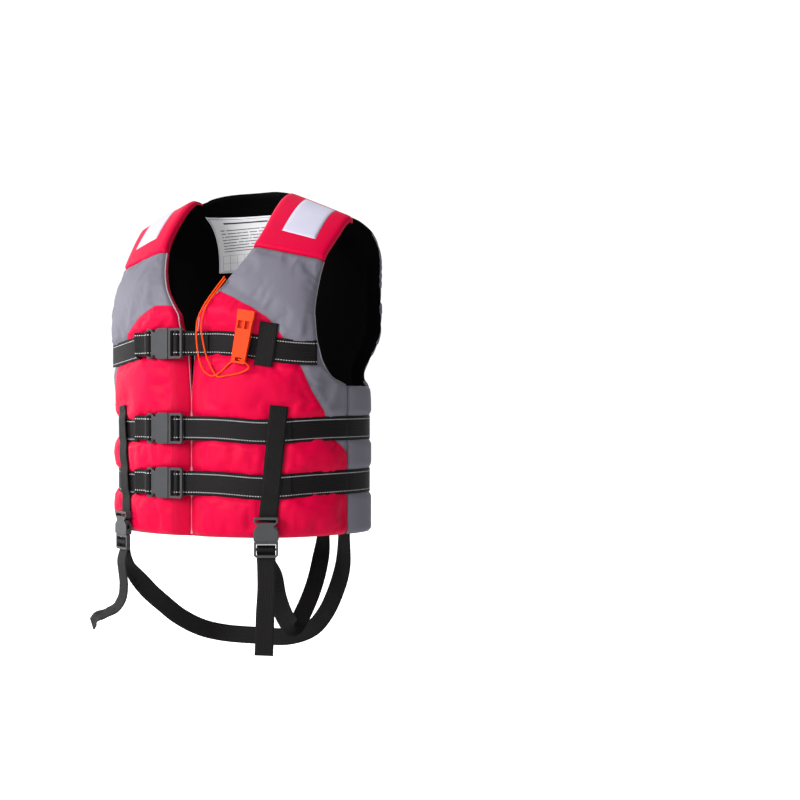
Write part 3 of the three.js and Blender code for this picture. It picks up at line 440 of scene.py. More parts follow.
# --- mesh helpers
def new_mesh(name, points, faces, materials, face_material=None, attributes=None):
    """A smooth mesh object from points in millimetres, with float attributes on its points."""
    mesh = bpy.data.meshes.new(name)
    mesh.from_pydata((np.asarray(points) * MM).tolist(), [], [list(map(int, f)) for f in faces])
    for m in materials:
        mesh.materials.append(MATERIALS[m])
    if face_material is not None:
        mesh.polygons.foreach_set("material_index", np.asarray(face_material, np.int32))
    mesh.polygons.foreach_set("use_smooth", np.full(len(mesh.polygons), True))
    rest = mesh.attributes.new("rest", "FLOAT_VECTOR", "POINT")
    rest.data.foreach_set("vector", (np.asarray(points) * MM).astype(np.float32).ravel())
    for key, values in (attributes or {}).items():
        a = mesh.attributes.new(key, "FLOAT", "POINT")
        a.data.foreach_set("value", np.asarray(values, np.float32))
    mesh.update()
    return link(name, mesh)


def grid_faces(rows, cols, first=0, flip=False):
    j, i = np.meshgrid(np.arange(rows - 1), np.arange(cols - 1), indexing="ij")
    a = first + j * cols + i
    loop = [a, a + 1, a + cols + 1, a + cols]
    return np.stack(loop[::-1] if flip else loop, -1).reshape(-1, 4)


def grid_ring(rows, cols, first=0):
    """A grid's border points, in order round it."""
    bottom = np.arange(cols - 1)
    right = np.arange(rows - 1) * cols + cols - 1
    top = (rows - 1) * cols + np.arange(cols - 1, 0, -1)
    left = np.arange(rows - 1, 0, -1) * cols
    return first + np.concatenate([bottom, right, top, left])


def bridge(a, b):
    """The faces between two rings of points."""
    return np.stack([a, b, np.roll(b, -1), np.roll(a, -1)], -1)


PRESSURE, MOST_MOVED, LAST_FRAME = 2.2, 6.0, 20


def settle(points, pins, slack):
    """The grid's points after a cloth simulation that blows the free cloth out between its pins."""
    mesh = bpy.data.meshes.new("settling")
    mesh.from_pydata((points.reshape(-1, 3) * MM).tolist(), [], grid_faces(*points.shape[:2]).tolist())
    obj = link("settling", mesh)
    group = obj.vertex_groups.new(name="pins")
    group.add(np.nonzero(pins.ravel())[0].tolist(), 1.0, "REPLACE")
    cloth = obj.modifiers.new("cloth", "CLOTH")
    c = cloth.settings
    c.quality, c.mass, c.air_damping = 6, 0.2, 2.0
    c.tension_stiffness = c.compression_stiffness = 18
    c.shear_stiffness, c.bending_stiffness = 6, 0.35
    c.tension_damping = c.compression_damping = 8
    c.vertex_group_mass, c.pin_stiffness = "pins", 1.0
    c.use_pressure, c.uniform_pressure_force = True, PRESSURE
    c.shrink_min = -slack
    c.effector_weights.gravity = 0
    cloth.collision_settings.use_collision = False
    cloth.point_cache.frame_start, cloth.point_cache.frame_end = 1, LAST_FRAME
    scene = bpy.context.scene
    for f in range(1, LAST_FRAME + 1):
        scene.frame_set(f)
    settled = obj.evaluated_get(bpy.context.evaluated_depsgraph_get())
    shaped = settled.to_mesh()
    co = np.zeros(len(shaped.vertices) * 3, np.float32)
    shaped.vertices.foreach_get("co", co)
    settled.to_mesh_clear()
    bpy.data.objects.remove(obj)
    scene.frame_set(1)
    moved = co.reshape(points.shape) / MM - points
    length = np.linalg.norm(moved, axis=-1, keepdims=True)
    moved *= np.tanh(length / MOST_MOVED) * MOST_MOVED / np.maximum(length, 1e-6)
    return points + moved


def rounded(distance, radius, depth):
    """How far a padded edge is drawn in, at this distance from it."""
    t = 1 - np.clip(distance / radius, 0, 1)
    return -depth * (1 - np.sqrt(1 - t * t * 0.999))


def belt_height(name, x, front=True):
    """A belt's middle at this x: it sinks a little away from the buckles."""
    x = np.abs(np.asarray(x, float))
    if name == "chest":
        return BELTS[name] - 15.0 * smooth(45, 190, x)
    return BELTS[name] - np.where(front, 5.0 * np.exp(-(((x - 125) / 50) ** 2)), 0.0)


def belt_band(angle, rise, names, inner=17.0, outer=26.0):
    """1 under these belts, fading to 0 beside them."""
    band = np.zeros_like(rise)
    x, _ = outline(angle, rise)
    for name in names:
        h = belt_height(name, x, np.cos(angle) > 0)
        band = np.maximum(band, 1 - smooth(inner, outer, np.abs(rise - h)))
    return band


def strap_x(height):
    """The front straps' middle: they lean out a little as they rise."""
    return 127.0 + 0.085 * height


def strap_band(panel, middle, low, high):
    """1 under upright webbing whose middle is at x = middle, between two heights."""
    x = np.abs(panel.base[..., 0])
    beside = 1 - smooth(15.0, 21.0, np.abs(x - middle))
    return beside * smooth(low - 10, low - 3, panel.rise) * (1 - smooth(high + 3, high + 10, panel.rise))


def seam_distance(angle, rise, seam, back):
    """Signed distance, in millimetres, from a seam given as (x, height) points: above 0 on its left."""
    per_radian = 185.0
    turns = np.array([angle_at(x, back, h) for x, h in seam]) * per_radian
    line = np.stack([turns, np.array([h for _, h in seam], float)], -1)
    here = np.stack([angle * per_radian, rise], -1)
    best = np.full(angle.shape, FAR)
    sign = np.ones(angle.shape)
    for a, b in zip(line[:-1], line[1:]):
        d = b - a
        t = np.clip(((here - a) @ d) / (d @ d), 0, 1)
        gap = here - a - t[..., None] * d
        length = np.hypot(gap[..., 0], gap[..., 1])
        closer = length < best - 1e-9
        side = d[0] * (here[..., 1] - a[1]) - d[1] * (here[..., 0] - a[0])
        best = np.where(closer, length, best)
        sign = np.where(closer, np.where(side > 0, -1.0, 1.0), sign)
    return best * sign


BELT_GROOVE, STRAP_GROOVE, SEAM_GROOVE, LINING_GAP = 3.2, 0.8, 1.4, 0.35
RIM_SHARES = (0.22, 0.5, 0.78)


class Panel:
    """A padded panel on the shell: a grid of angles and rises, a thickness and what draws it in."""

    def __init__(self, angle, rise, thick):
        self.angle, self.rise, self.thick = angle, rise, thick
        self.base = shell(angle, rise)
        self.normal = shell_normal(angle, rise)
        run = lengths(self.base)
        self.from_left, self.from_right = run, run[:, -1:] - run
        up = lengths(self.base.transpose(1, 0, 2)).T
        self.from_foot, self.from_head = up, up[-1:, :] - up
        beside = np.minimum(self.from_left, self.from_right)
        self.near = np.minimum(beside, np.minimum(self.from_foot, self.from_head))
        self.zone = np.full(angle.shape, 1e3)
        self.strip = np.full(angle.shape, -1e3)
        self.bound = self.pins = np.zeros(angle.shape, bool)
        self.rim = 0.0

    def at(self, lift):
        return self.base + self.normal * np.asarray(lift)[..., None]

    def drawn_in(self, **edges):
        """What the rounded edges take off the lift, from edge=(radius, depth)."""
        return sum(rounded(getattr(self, "from_" + edge), *size) for edge, size in edges.items())

    def pressed(self, band, held):
        """What the belts, the straps and the seam press into the padding."""
        seam = np.exp(-((self.zone / 4.0) ** 2))
        return -BELT_GROOVE * band - STRAP_GROOVE * held * (1 - band) - SEAM_GROOVE * seam

    def pin(self, belts, held, also=False):
        """Holds the outer sheet at its edges, along its seam and under the webbing."""
        under_belt = belt_band(self.angle, self.rise, belts, 15, 19) > 0.5
        self.pins = (self.near < 5) | under_belt | (held > 0.5) | (np.abs(self.zone) < 2.2) | also

    def build(self, name, slack=0.0, edge="gusset", mirror=False, inner_round=3.0):
        """The panel's mesh: the outer sheet, which settles if it has slack, a rim and the lining."""
        outer = self.at(self.lift)
        if slack:
            outer = settle(outer, self.pins, slack)
        inner = self.at(-self.thick + LINING_GAP - rounded(self.near, 8.0, inner_round))
        rows, cols = self.angle.shape
        ring = grid_ring(rows, cols)
        a, b = outer.reshape(-1, 3)[ring], inner.reshape(-1, 3)[ring]
        r, c = np.divmod(ring, cols)
        away = unit(self.base[r, c] - self.base[np.clip(r, 1, rows - 2), np.clip(c, 1, cols - 2)])
        rim = [a + (b - a) * t + away * self.rim * math.sin(math.pi * t) for t in RIM_SHARES]
        points = np.concatenate([outer.reshape(-1, 3), *rim, inner.reshape(-1, 3)])
        count, n = rows * cols, len(ring)
        last = count + len(rim) * n
        rings = [ring, *[count + k * n + np.arange(n) for k in range(len(rim))], grid_ring(rows, cols, last)]
        front, back = grid_faces(rows, cols), grid_faces(rows, cols, last, flip=True)
        sides = [bridge(p, q) for p, q in zip(rings[:-1], rings[1:])]
        faces = np.concatenate([front, *sides, back])
        # The materials are 0 for the cover, 1 for the edge and 2 for the lining.
        bound = np.where(self.bound.ravel()[front].all(1), 2, 0)
        edged = np.repeat([1] * len(rim) + [2], n)
        face_material = np.concatenate([bound, edged, np.full(len(back), 2)])

        def tile(grid):
            flat = grid.ravel()
            return np.concatenate([flat, *[flat[ring]] * len(rim), flat])

        attributes = {
            "zone": tile(self.zone),
            "strip": tile(self.strip),
            "along": tile(self.from_foot),
            "across": tile(self.from_left),
        }
        if mirror:
            points, faces = points * [-1, 1, 1], faces[:, ::-1]
        return new_mesh(name, points, faces, ["cover", edge, "lining"], face_material, attributes)


def lerp_grid(left, right, cols):
    """A grid with a row for each pair of left and right values, running from one to the other."""
    share = np.linspace(0, 1, cols)
    return left[:, None] * (1 - share) + right[:, None] * share


def columns(values, cols):
    return np.repeat(values[:, None], cols, 1)


FRONT_SEAM = {
    "left": [(-60, 385), (52, 374), (76, 365), (107, 349), (131, 328), (147, 303), (168, 261), (182, 222),
             (195, 190), (203, 150), (210, 129), (213.6, 112), (213.9, 60)],
    "right": [(-60, 352), (38, 354), (61, 355), (92, 338), (122, 314), (143, 289), (159, 261), (178, 222),
              (193, 190), (203, 150), (210, 129), (213.6, 112), (213.9, 60)],
}


def front_panel(side):
    rows, cols = np.concatenate([np.linspace(0, 228, 56), np.linspace(231, 440.3, 54)]), 54
    rise = columns(rows, cols)
    p = Panel(lerp_grid(front_in(rows), front_out(rows), cols), rise, front_thick(rise))
    p.rim = 1.4
    p.zone = seam_distance(p.angle, rise, FRONT_SEAM[side], False)
    p.zone = np.where(rise < 112, np.maximum(p.zone, 1e2), p.zone)
    band = belt_band(p.angle, rise, BELTS)
    held = strap_band(p, strap_x(rise), 0, 198)
    if side == "left":
        held = np.maximum(held, strap_band(p, 127, 259, 322))
    arm = smooth(222, 236, rise)
    # Below the neck the opening's edge is a strip that slopes in from a seam.
    sloped = 1 - smooth(285, 325, rise)
    # This signed distance also marks where the cover is painted a darker red as painted shade.
    p.strip = np.where(rise < 318, 25.0 - p.from_left, -1e3)
    slope = -14.0 * np.clip(1 - p.from_left / 26.0, 0, 1) ** 1.25
    slope = slope - 1.0 * np.exp(-(((p.from_left - 25.5) / 3.0) ** 2))
    free = (1 - band) * (1 - held) * (1 - sloped * np.clip(1 - p.from_left / 40, 0, 1))
    p.lift = (
        rounded(p.from_left, 13, 8) * (1 - sloped)
        + slope * sloped
        + p.drawn_in(right=(9 + 4 * arm, 2.5 + 5.5 * arm), foot=(12, 8), head=(8, 3))
        + 2.6 * smooth(0, 45, p.near) * free
        + p.pressed(band, held)
    )
    p.lift = np.maximum(p.lift, -9.0 - 6.5 * sloped * (p.from_left < 26))
    p.pin(BELTS, held, (p.from_left < 27) & (sloped > 0.5))
    return p


BACK_SEAM = [(160, 180), (154, 186), (155, 300), (152, 350), (147, 400), (138, 435), (126, 468), (105, 505),
             (84, 538), (70, 570), (60, 620)]


def back_panel():
    rows, cols = np.concatenate([np.linspace(0, 425, 96), np.linspace(430, 591, 40)]), 104
    edge = np.radians(back_edge(rows))
    angle = lerp_grid(edge, 2 * math.pi - edge, cols)
    row = columns(rows, cols)
    x, _ = outline(angle, row)
    top = BACK_NECK + (BACK_TOP - BACK_NECK) * smooth(0, 90, np.abs(x))
    leaning = BACK_LEANS + (top - BACK_LEANS) * (row - BACK_LEANS) / (BACK_TOP - BACK_LEANS)
    rise = np.where(row > BACK_LEANS, leaning, row)
    p = Panel(angle, rise, back_thick(rise))
    folded = np.where(angle > math.pi, 2 * math.pi - angle, angle)
    height = p.base[..., 2] + ORIGIN
    p.zone = seam_distance(folded, height, BACK_SEAM, True)
    p.zone = np.where(height < 172, np.maximum(p.zone, 30), p.zone)
    band = belt_band(angle, rise, WAIST)
    held = strap_band(p, 168, 57, 208)
    arm = smooth(222, 236, rise)
    armhole = (9 + 4 * arm, 2.5 + 5.5 * arm)
    p.lift = (
        p.drawn_in(left=armhole, right=armhole, foot=(12, 8), head=(10, 5))
        + 3.0 * smooth(0, 60, p.near) * (1 - band) * (1 - held)
        + p.pressed(band, held)
    )
    p.lift = np.maximum(p.lift, -9.0)
    p.pin(WAIST, held)
    # The armhole and neck edges have a dark binding.
    p.bound = (rise > 236) & (np.minimum(p.from_left, p.from_right) < 9) | (p.from_head < 8)
    return p


def side_panel():
    rows, cols = np.linspace(0, 229, 54), 20
    gap = 0.5 / HALF_WIDTH
    front, back = math.radians(SIDE_ANGLE) + gap, math.radians(BACK_ANGLE) - gap
    rise = columns(rows, cols)
    angle = lerp_grid(np.full_like(rows, front), np.full_like(rows, back), cols)
    p = Panel(angle, rise, np.full_like(rise, 8.0))
    p.zone = np.full(rise.shape, -1e3)
    band = belt_band(angle, rise, WAIST)
    near = np.minimum(p.from_left, p.from_right)
    p.lift = p.drawn_in(left=(8, 2.5), right=(8, 2.5), foot=(8, 4), head=(8, 4))
    p.lift = p.lift + 2.2 * smooth(0, 24, near) * (1 - band) - BELT_GROOVE * band
    p.lift = np.maximum(p.lift, -5.0)
    return p


PAD_LIFT = 1.6


def shoulder_panel():
    rows, cols = np.concatenate([np.linspace(441, 575, 46), np.linspace(577, 588, 7)]), 30
    front = np.minimum(rows, FRONT_RIDGE)
    angle = lerp_grid(front_in(front), front_out(front), cols)
    row = columns(rows, cols)
    x, _ = outline(angle, np.minimum(row, FRONT_RIDGE))
    over = row > FRONT_RIDGE
    angle = np.where(over, angle_at(x, True, BACK_RIDGE), angle)
    rise = np.where(over, BACK_RIDGE - (row - FRONT_RIDGE), row)
    p = Panel(angle, rise, front_thick(np.minimum(row, FRONT_RIDGE)))
    p.lift = p.drawn_in(left=(9, 4.5), right=(9, 4.5), foot=(8, 3), head=(8, 3)) + PAD_LIFT
    return p


def declare_padded(obj, *replaced, slot="red_fabric"):
    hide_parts(*replaced)


def bend_at_side(obj):
    """Bakes the piece's transform into its mesh."""
    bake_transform(obj)


def bend_at_shoulder(obj):
    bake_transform(obj)


def build_panels():
    for side, sign in SIDES:
        obj = front_panel(side).build(f"front_{side}_panel", 0.035, mirror=sign < 0)
        declare_padded(obj, *[f"front_{side}_{layer}" for layer in ("cover", "foam", "lining")])
        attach(obj, f"front_{side}")
    obj = back_panel().build("back_panel", 0.03, edge="lining")
    declare_padded(obj, "back_cover", "back_foam", "back_lining")
    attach(obj, "back")
    for side, sign in SIDES:
        obj = side_panel().build(f"side_{side}_panel", edge="grey_edge", mirror=sign < 0, inner_round=1.5)
        declare_padded(obj, f"side_panel_{side}", slot="grey_fabric")
        bend_at_side(obj)
        obj = shoulder_panel().build(f"shoulder_{side}_pad", mirror=sign < 0, inner_round=2.0)
        declare_padded(obj, f"shoulder_pad_{side}")
        bend_at_shoulder(obj)


build_panels()


# --- webbing
def sweep(name, path, sideways, out, section, material, start=0.0):
    """A closed section swept along a path. Its rows are (sideways, out, across, face_out)."""
    n, m = len(path), len(section)
    points = path[:, None] + sideways[:, None] * section[:, 0, None] + out[:, None] * section[:, 1, None]
    j, i = np.meshgrid(np.arange(n - 1) * m, np.arange(m), indexing="ij")
    k = (i + 1) % m
    quads = np.stack([j + i, j + m + i, j + m + k, j + k], -1).reshape(-1, 4)
    caps = [range(m), range(n * m - 1, (n - 1) * m - 1, -1)]
    attributes = {
        "along": np.repeat(start + lengths(path), m),
        "across": np.tile(section[:, 2], n),
        "face_out": np.tile(section[:, 3], n),
    }
    obj = new_mesh(name, points.reshape(-1, 3), [*quads, *caps], [material], attributes=attributes)
    outside(obj)
    return obj


def webbing_section(width):
    """Flat webbing's section: two ribbed faces and two rounded edges."""
    cells, half, face, lip = np.linspace(-1, 1, 9), width / 2, WEBBING / 2, WEBBING * 0.15
    top = [(c * (half - 0.3), face, c * (half - 0.3), 1.0) for c in cells]
    edge = [(half, lip, half, 0.0), (half, -lip, half, 0.0)]
    return np.array([*top, *edge, *[(-x, -y, -across, out) for x, y, across, out in [*top, *edge]]])


def strip(name, centre, across, width, material, start=0.0):
    """Woven webbing swept along its middle line."""
    centre = np.asarray(centre, float)
    along = unit(np.gradient(centre, axis=0))
    across = np.broadcast_to(np.asarray(across, float), centre.shape)
    across = unit(across - along * np.sum(across * along, 1, keepdims=True))
    out = np.cross(across, along)
    if np.sum(out * centre * [1, 1, 0]) < 0:
        out = -out
    obj = sweep(name, centre, across, out, webbing_section(width), material, start)
    return obj


def outside(obj):
    """Turns the mesh's faces outwards if they face in."""
    mesh = obj.data
    mesh.calc_loop_triangles()
    co = np.array([v.co for v in mesh.vertices])
    tri = np.array([t.vertices[:] for t in mesh.loop_triangles])
    a, b, c = co[tri[:, 0]], co[tri[:, 1]], co[tri[:, 2]]
    if np.sum(a * np.cross(b, c)) < 0:
        mesh.flip_normals()


BELT_SINK = -2.0  # the belts' middle, against the shell: they press into the padding
UP = np.array([0.0, 0.0, 1.0])


def belt_path(name, first, last, lift=BELT_SINK):
    """Points round the shell along a belt's middle between two angles, both in degrees."""
    count = max(3, int(abs(last - first) / 180 * math.pi * 190 / 4.0))
    angle = np.radians(np.linspace(first, last, count))
    x, _ = outline(angle, BELTS[name])
    return off(angle, belt_height(name, x, np.cos(angle) > 0), lift)


def degrees_at(x, height):
    return math.degrees(float(angle_at(x, False, height)))


def buckle_frame(x, height, lift):
    """A belt buckle's start, its direction along the belt, and outwards."""
    angle = angle_at(x, False, height)
    out = shell_normal(angle, height)
    along = -np.cross(out, UP)
    return off(angle, height, lift) - along * 33.0, along, out


def placed(start, along, out, steps):
    """The points at these (along, out) steps from a start."""
    return [start + along * x + out * y for x, y in steps]


BUCKLE_LIFT = 2.2
SLACK = {"chest": 0.8, "waist_upper": 0.0, "waist_lower": 0.0}


def smooth_path(points, step=2.5):
    """A centripetal Catmull-Rom curve through the points, sampled about every step millimetres."""
    p = np.asarray(points, float)
    ext = np.concatenate([[2 * p[0] - p[1]], p, [2 * p[-1] - p[-2]]])
    out = []
    for first in range(len(p) - 1):
        level = list(ext[first : first + 4])
        count = max(2, int(np.linalg.norm(level[2] - level[1]) / step) + 1)
        gaps = np.linalg.norm(np.diff(level, axis=0), axis=1) ** 0.5
        k = np.concatenate([[0], np.cumsum(gaps)])
        t = np.linspace(k[1], k[2], count, endpoint=False)[:, None]
        # Each level mixes its neighbours over the knots that they span.
        for spans in (((0, 1), (1, 2), (2, 3)), ((0, 2), (1, 3)), ((1, 2),)):
            level = [
                (k[j] - t) / (k[j] - k[i]) * a + (t - k[i]) / (k[j] - k[i]) * b
                for (i, j), a, b in zip(spans, level[:-1], level[1:])
            ]
        out.append(level[0])
    return np.concatenate([*out, p[-1:]])


def belt(node, path):
    """A length of the wide webbing, which stands for a CAD node."""
    obj = strip(f"{node}_web", path, UP, BELT_WIDTH, "belt")
    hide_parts(node)
    return obj


# Sewn webbing round the female's bar, and the tail's arch over the male's bar, as (along, out) steps.
FEMALE_LOOP = (
    (-30, -2.6), (-16, -2.2), (-4, -1.6), (2.5, -1.3), (6.2, 0.8), (6.8, 5.5), (5.6, 10.8), (1.5, 12.4),
    (-3.2, 10.5), (-6.5, 5.5), (-11, 1.4), (-18, 0.1), (-34, -0.4),
)
MALE_ARCH = (
    (46.65, 0.2), (48.75, 2.8), (50.15, 7.0), (51.55, 8.6), (54.25, 8.6), (56.45, 7.0), (58.45, 3.2),
    (62.5, 1.4), (68, 0.9),
)


def build_belts():
    for name, height in BELTS.items():
        buckle = buckle_frame(-31.0, height, BUCKLE_LIFT + SLACK[name])
        edge = SIDE_ANGLE if name in WAIST else float(arm_angle(height)) - 0.6
        body = belt_path(name, -edge, degrees_at(-98, height))
        path = smooth_path([*body[::3], *placed(*buckle, FEMALE_LOOP)])
        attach(belt(f"{name}_belt_right", path), "front_right")
        path = belt_path(name, degrees_at(8, height), edge)
        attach(belt(f"{name}_belt_left", path), "front_left")
        end = 160.0 if name in WAIST else 57.0
        tail = belt_path(name, degrees_at(20, height), degrees_at(end, height), BELT_SINK + 2.0)
        path = smooth_path([*placed(*buckle, MALE_ARCH), *tail[::3], tail[-1]])
        obj = belt(f"{name}_belt_tail", path)
        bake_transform(obj)
        if name in WAIST:
            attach(belt(f"{name}_belt_back", belt_path(name, BACK_ANGLE, 360 - BACK_ANGLE)), "back")
            for side, sign in SIDES:
                path = belt_path(name, sign * (SIDE_ANGLE - 0.5), sign * (BACK_ANGLE + 0.5))
                obj = strip(f"{name}_belt_side_{side}_web", path, UP, BELT_WIDTH, "belt")
                bend_at_side(obj)


def upright(node, rungs, back, body, mirror=False):
    """Upright webbing on the shell, which stands for a CAD node: rungs are (x, height, lift)."""
    x, h, lift = np.array(rungs, float).T
    angle = angle_at(x, back, h)
    path = smooth_path(off(angle, h, lift), 3.0)
    at, share = np.linspace(0, 1, len(path)), np.linspace(0, 1, len(x))
    hint = np.stack([np.interp(at, share, axis) for axis in shell_normal(angle, h).T], -1)
    across = np.cross(hint, UP)
    if mirror:
        path, across = path * [-1, 1, 1], across * [-1, 1, 1]
    obj = strip(f"{node}_web", path, across, STRAP_WIDTH, "strap")
    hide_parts(node)
    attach(obj, body)


# How far each upright piece stands off the shell, as (height, lift): it rides over the belts.
FRONT_STRAP = (
    (25, 1.0), (34, 0.9), (44, 0.5), (56, -0.2), (62, 0.8), (68, 2.0), (80, 2.2), (95, 2.0), (101, 1.2),
    (108, 1.6), (122, 2.6), (136, 1.6), (144, 1.2), (150, 2.0), (163, 2.2), (177, 2.0), (183, 1.0),
    (187, 0.2), (192, 0.6), (198, 1.4),
)
BACK_LOOP = (
    (57, 0.4), (60, -0.4), (66, 0.2), (81, 0.3), (96, 0.2), (103, 1.2), (112, 2.8), (124, 3.4), (135, 2.6),
    (143, 0.8), (150, 0.2), (164, 0.3), (178, 0.2), (184, 0.8), (194, 2.0), (208, 2.4),
)
CHEST_LOOP = ((258, 2.2), (264, 1.8), (270, 0.6), (278, 0.6), (293, 0.8), (308, 0.6), (316, 0.8), (323, 2.0))


def build_uprights():
    for side, sign in SIDES:
        rungs = [(strap_x(h), h, lift) for h, lift in FRONT_STRAP]
        upright(f"front_strap_{side}", rungs, False, f"front_{side}", sign < 0)
        rungs = [(168, h, lift) for h, lift in BACK_LOOP]
        upright(f"back_loop_{side}", rungs, True, "back", sign < 0)
    rungs = [(127 + 0.13 * (h - 291), h, lift) for h, lift in CHEST_LOOP]
    upright("chest_loop_left", rungs, False, "front_left")


build_belts()
build_uprights()


# --- crotch straps
ROUTES = {
    "left": {
        "strap": [[131, -124, -58], [129, -108, -92], [126, -80, -127], [122, -46, -149],
                  [119, -8, -128], [116, 34, -88], [110, 66, -46], [104, 86, -4]],
        "tail": [[131, -143, -74], [129, -144, -112], [128, -144, -146], [126, -143, -175]],
    },
    "right": {
        "strap": [[-125, -136, -54], [-110, -112, -92], [-100, -78, -122], [-88, -52, -145],
                  [-66, -25, -165], [-40, 0, -176], [10, 24, -181], [62, 46, -182], [95, 63, -169],
                  [112, 75, -146], [126, 84, -112], [137, 90, -68], [141, 88, -4]],
        "tail": [[-130, -149, -44], [-126, -152, -62], [-123, -153, -82], [-125, -154, -102],
                 [-136, -155, -118], [-155, -157, -129], [-172, -158, -137], [-181, -158, -148]],
    },
}


CROTCH_ARCH = (
    (42.15, 1.2), (44.15, 3.4), (45.35, 6.4), (46.65, 7.7), (49.15, 7.7), (51.25, 6.4), (53.05, 3.8),
    (56.5, 2.9),
)


def build_crotch():
    for side, sign in SIDES:
        angle = angle_at(sign * strap_x(2.0), False)
        out = shell_normal(angle, 32.0)
        across = np.cross(-UP, out)
        buckle = (off(angle, 32.0, BUCKLE_LIFT + 0.3), -UP, out)
        male = f"crotch_{side}_male"
        route = {part: np.array(points) - [0, 0, ORIGIN] for part, points in ROUTES[side].items()}
        path = smooth_path([*placed(*buckle, CROTCH_ARCH), *route["tail"]])
        obj = strip(f"crotch_tail_{side}_web", path, across, STRAP_WIDTH, "strap")
        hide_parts(f"crotch_tail_{side}")
        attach(obj, male)
        # The strap: a short piece from the male, then the long run to the back hem.
        points = smooth_path([*placed(*buckle, ((57, 0.8), (67, 0.0))), *route["strap"]])
        t = np.linspace(0, 1, len(points))[:, None]
        facing = unit(np.cross(np.gradient(points, axis=0), [0.5, -0.84, 0.2]))
        facing *= np.sign(facing[0] @ across)
        rear = np.array([0.9, -0.35, 0.0])
        rear *= np.sign(facing[-1] @ rear)
        middle = smooth(0.0, 0.16, t) * (1 - smooth(0.78, 1.0, t))
        hint = np.where(t < 0.5, across, rear) * (1 - middle) + facing * middle
        run = lengths(points)
        cut = int(np.searchsorted(run, 62.0))
        name = f"crotch_strap_{side}"
        obj = strip(f"{name}_upper_web", points[: cut + 1], hint[: cut + 1], STRAP_WIDTH, "strap")
        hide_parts(name)
        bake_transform(obj)
        obj = strip(f"{name}_lower_web", points[cut:], hint[cut:], STRAP_WIDTH, "strap", run[cut])
        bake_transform(obj)


build_crotch()


# --- patches and piping
def sheet(name, top, under, material, along, across):
    """A thin closed sheet between two grids of points."""
    rows, cols = top.shape[:2]
    count = rows * cols
    faces = np.concatenate([
        grid_faces(rows, cols),
        grid_faces(rows, cols, count, flip=True),
        bridge(grid_ring(rows, cols), grid_ring(rows, cols, count)),
    ])
    measures = {"along": along, "across": across}
    attributes = {key: np.tile(np.broadcast_to(v, (rows, cols)).ravel(), 2) for key, v in measures.items()}
    points = np.concatenate([top.reshape(-1, 3), under.reshape(-1, 3)])
    obj = new_mesh(name, points, faces, [material], attributes=attributes)
    outside(obj)
    return obj


def shares(rows, cols):
    """How far up and how far across each point of a grid is."""
    return np.linspace(0, 1, rows)[:, None], np.linspace(0, 1, cols)[None, :]


def build_patches():
    """The reflective patches, sewn on the shoulder pads."""
    t, s = shares(26, 16)
    near, far = 117 + 5 * t, 165 + 9 * t
    x = near + (far - near) * s
    rise = np.broadcast_to(470 + 93 * t, x.shape)
    angle = angle_at(x, False)
    edge = np.minimum(np.minimum(s, 1 - s) * 50, np.minimum(t, 1 - t) * 90)
    lift = PAD_LIFT + 0.35 + 0.9 * smooth(0, 3.0, edge) - 0.35 * np.exp(-(((edge - 4.0) / 0.9) ** 2))
    top, under = off(angle, rise, lift), off(angle, rise, np.full_like(lift, PAD_LIFT - 0.6))
    for side, sign in SIDES:
        mirror = [sign, 1, 1]
        obj = sheet(f"shoulder_patch_{side}", top * mirror, under * mirror, "tape", t * 90, s * 50)
        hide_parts(f"reflective_patch_{side}")
        bend_at_shoulder(obj)


def build_label():
    """The label, sewn to the lining inside the back."""
    t, s = shares(24, 30)
    x, height = np.broadcast_arrays(-35 + (s - 0.5) * 130, 426 + 102 * t)
    turn = np.arcsin((height - BACK_LEANS) / (ridge_height(x) - BACK_LEANS))
    rise = BACK_LEANS + turn * 2 / math.pi * BACK_RUN
    angle, depth = angle_at(x, True, rise), back_thick(rise)
    face, under = off(angle, rise, -depth - 1.4), off(angle, rise, -depth - 0.2)
    obj = sheet("care_label_sheet", face, under, "label", t * LABEL_HIGH, s * LABEL_WIDE)
    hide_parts("care_label")
    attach(obj, "back")


def tube(name, path, radius, material, sides=8):
    along = unit(np.gradient(path, axis=0))
    side = unit(np.cross(along, UP + np.array([0.1, 0.2, 0])))
    turn = np.linspace(0, 2 * math.pi, sides, endpoint=False)
    section = np.stack([radius * np.cos(turn), radius * np.sin(turn), turn * radius, 0 * turn], -1)
    return sweep(name, path, side, np.cross(side, along), section, material)


def build_piping():
    """A thin corded edge where each front's outside turns in."""
    opening, armhole = np.linspace(2, 440, 130), np.linspace(232, 440, 80)
    sunk = -8.2 - 7.6 * (1 - smooth(285, 325, opening))
    paths = {
        "opening": off(front_in(opening), opening, sunk),
        "armhole": off(front_out(armhole), armhole, np.full(80, -8.2)),
    }
    for side, sign in SIDES:
        for place, path in paths.items():
            obj = tube(f"front_{side}_{place}_piping", path * [sign, 1, 1], 1.1, "piping")
            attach(obj, f"front_{side}")


build_patches()
build_label()
build_piping()


# --- the whistle's cord
CORD_WIDE = 2.4
# The cord's two runs on the shell, as (x, height, lift): to the whistle's eye and back from it.
CORD_OUT = (
    (57, 392, 2), (46, 373, 2.2), (33, 351, 2.4), (26, 331, 6), (26, 314, 11), (27, 290, 11), (29, 268, 8),
    (34, 252, 4), (44, 244, 2), (53, 244, 1.2), (65, 251, 0.8), (76, 262, 0.7),
)
CORD_BACK = (
    (99.5, 264, 16.5), (105, 256, 10), (96, 249, 3), (86, 246, 2), (72, 243.5, 2.4), (59, 242, 4.8),
    (52, 248, 5), (46, 260, 6.5), (41, 276, 10.5), (37, 296, 11.4), (34, 314, 11.2), (34, 333, 6.4),
    (39, 352, 4.2), (49, 370, 2.8), (60, 389, 2.4),
)
# Through the whistle's eye, as (across, outwards) in the whistle's frame, this far up from its foot.
THROUGH_EYE, EYE_RISE = ((2.2, -1.2), (0.6, 2.4), (-1, 7), (-2.8, 11)), 5.75


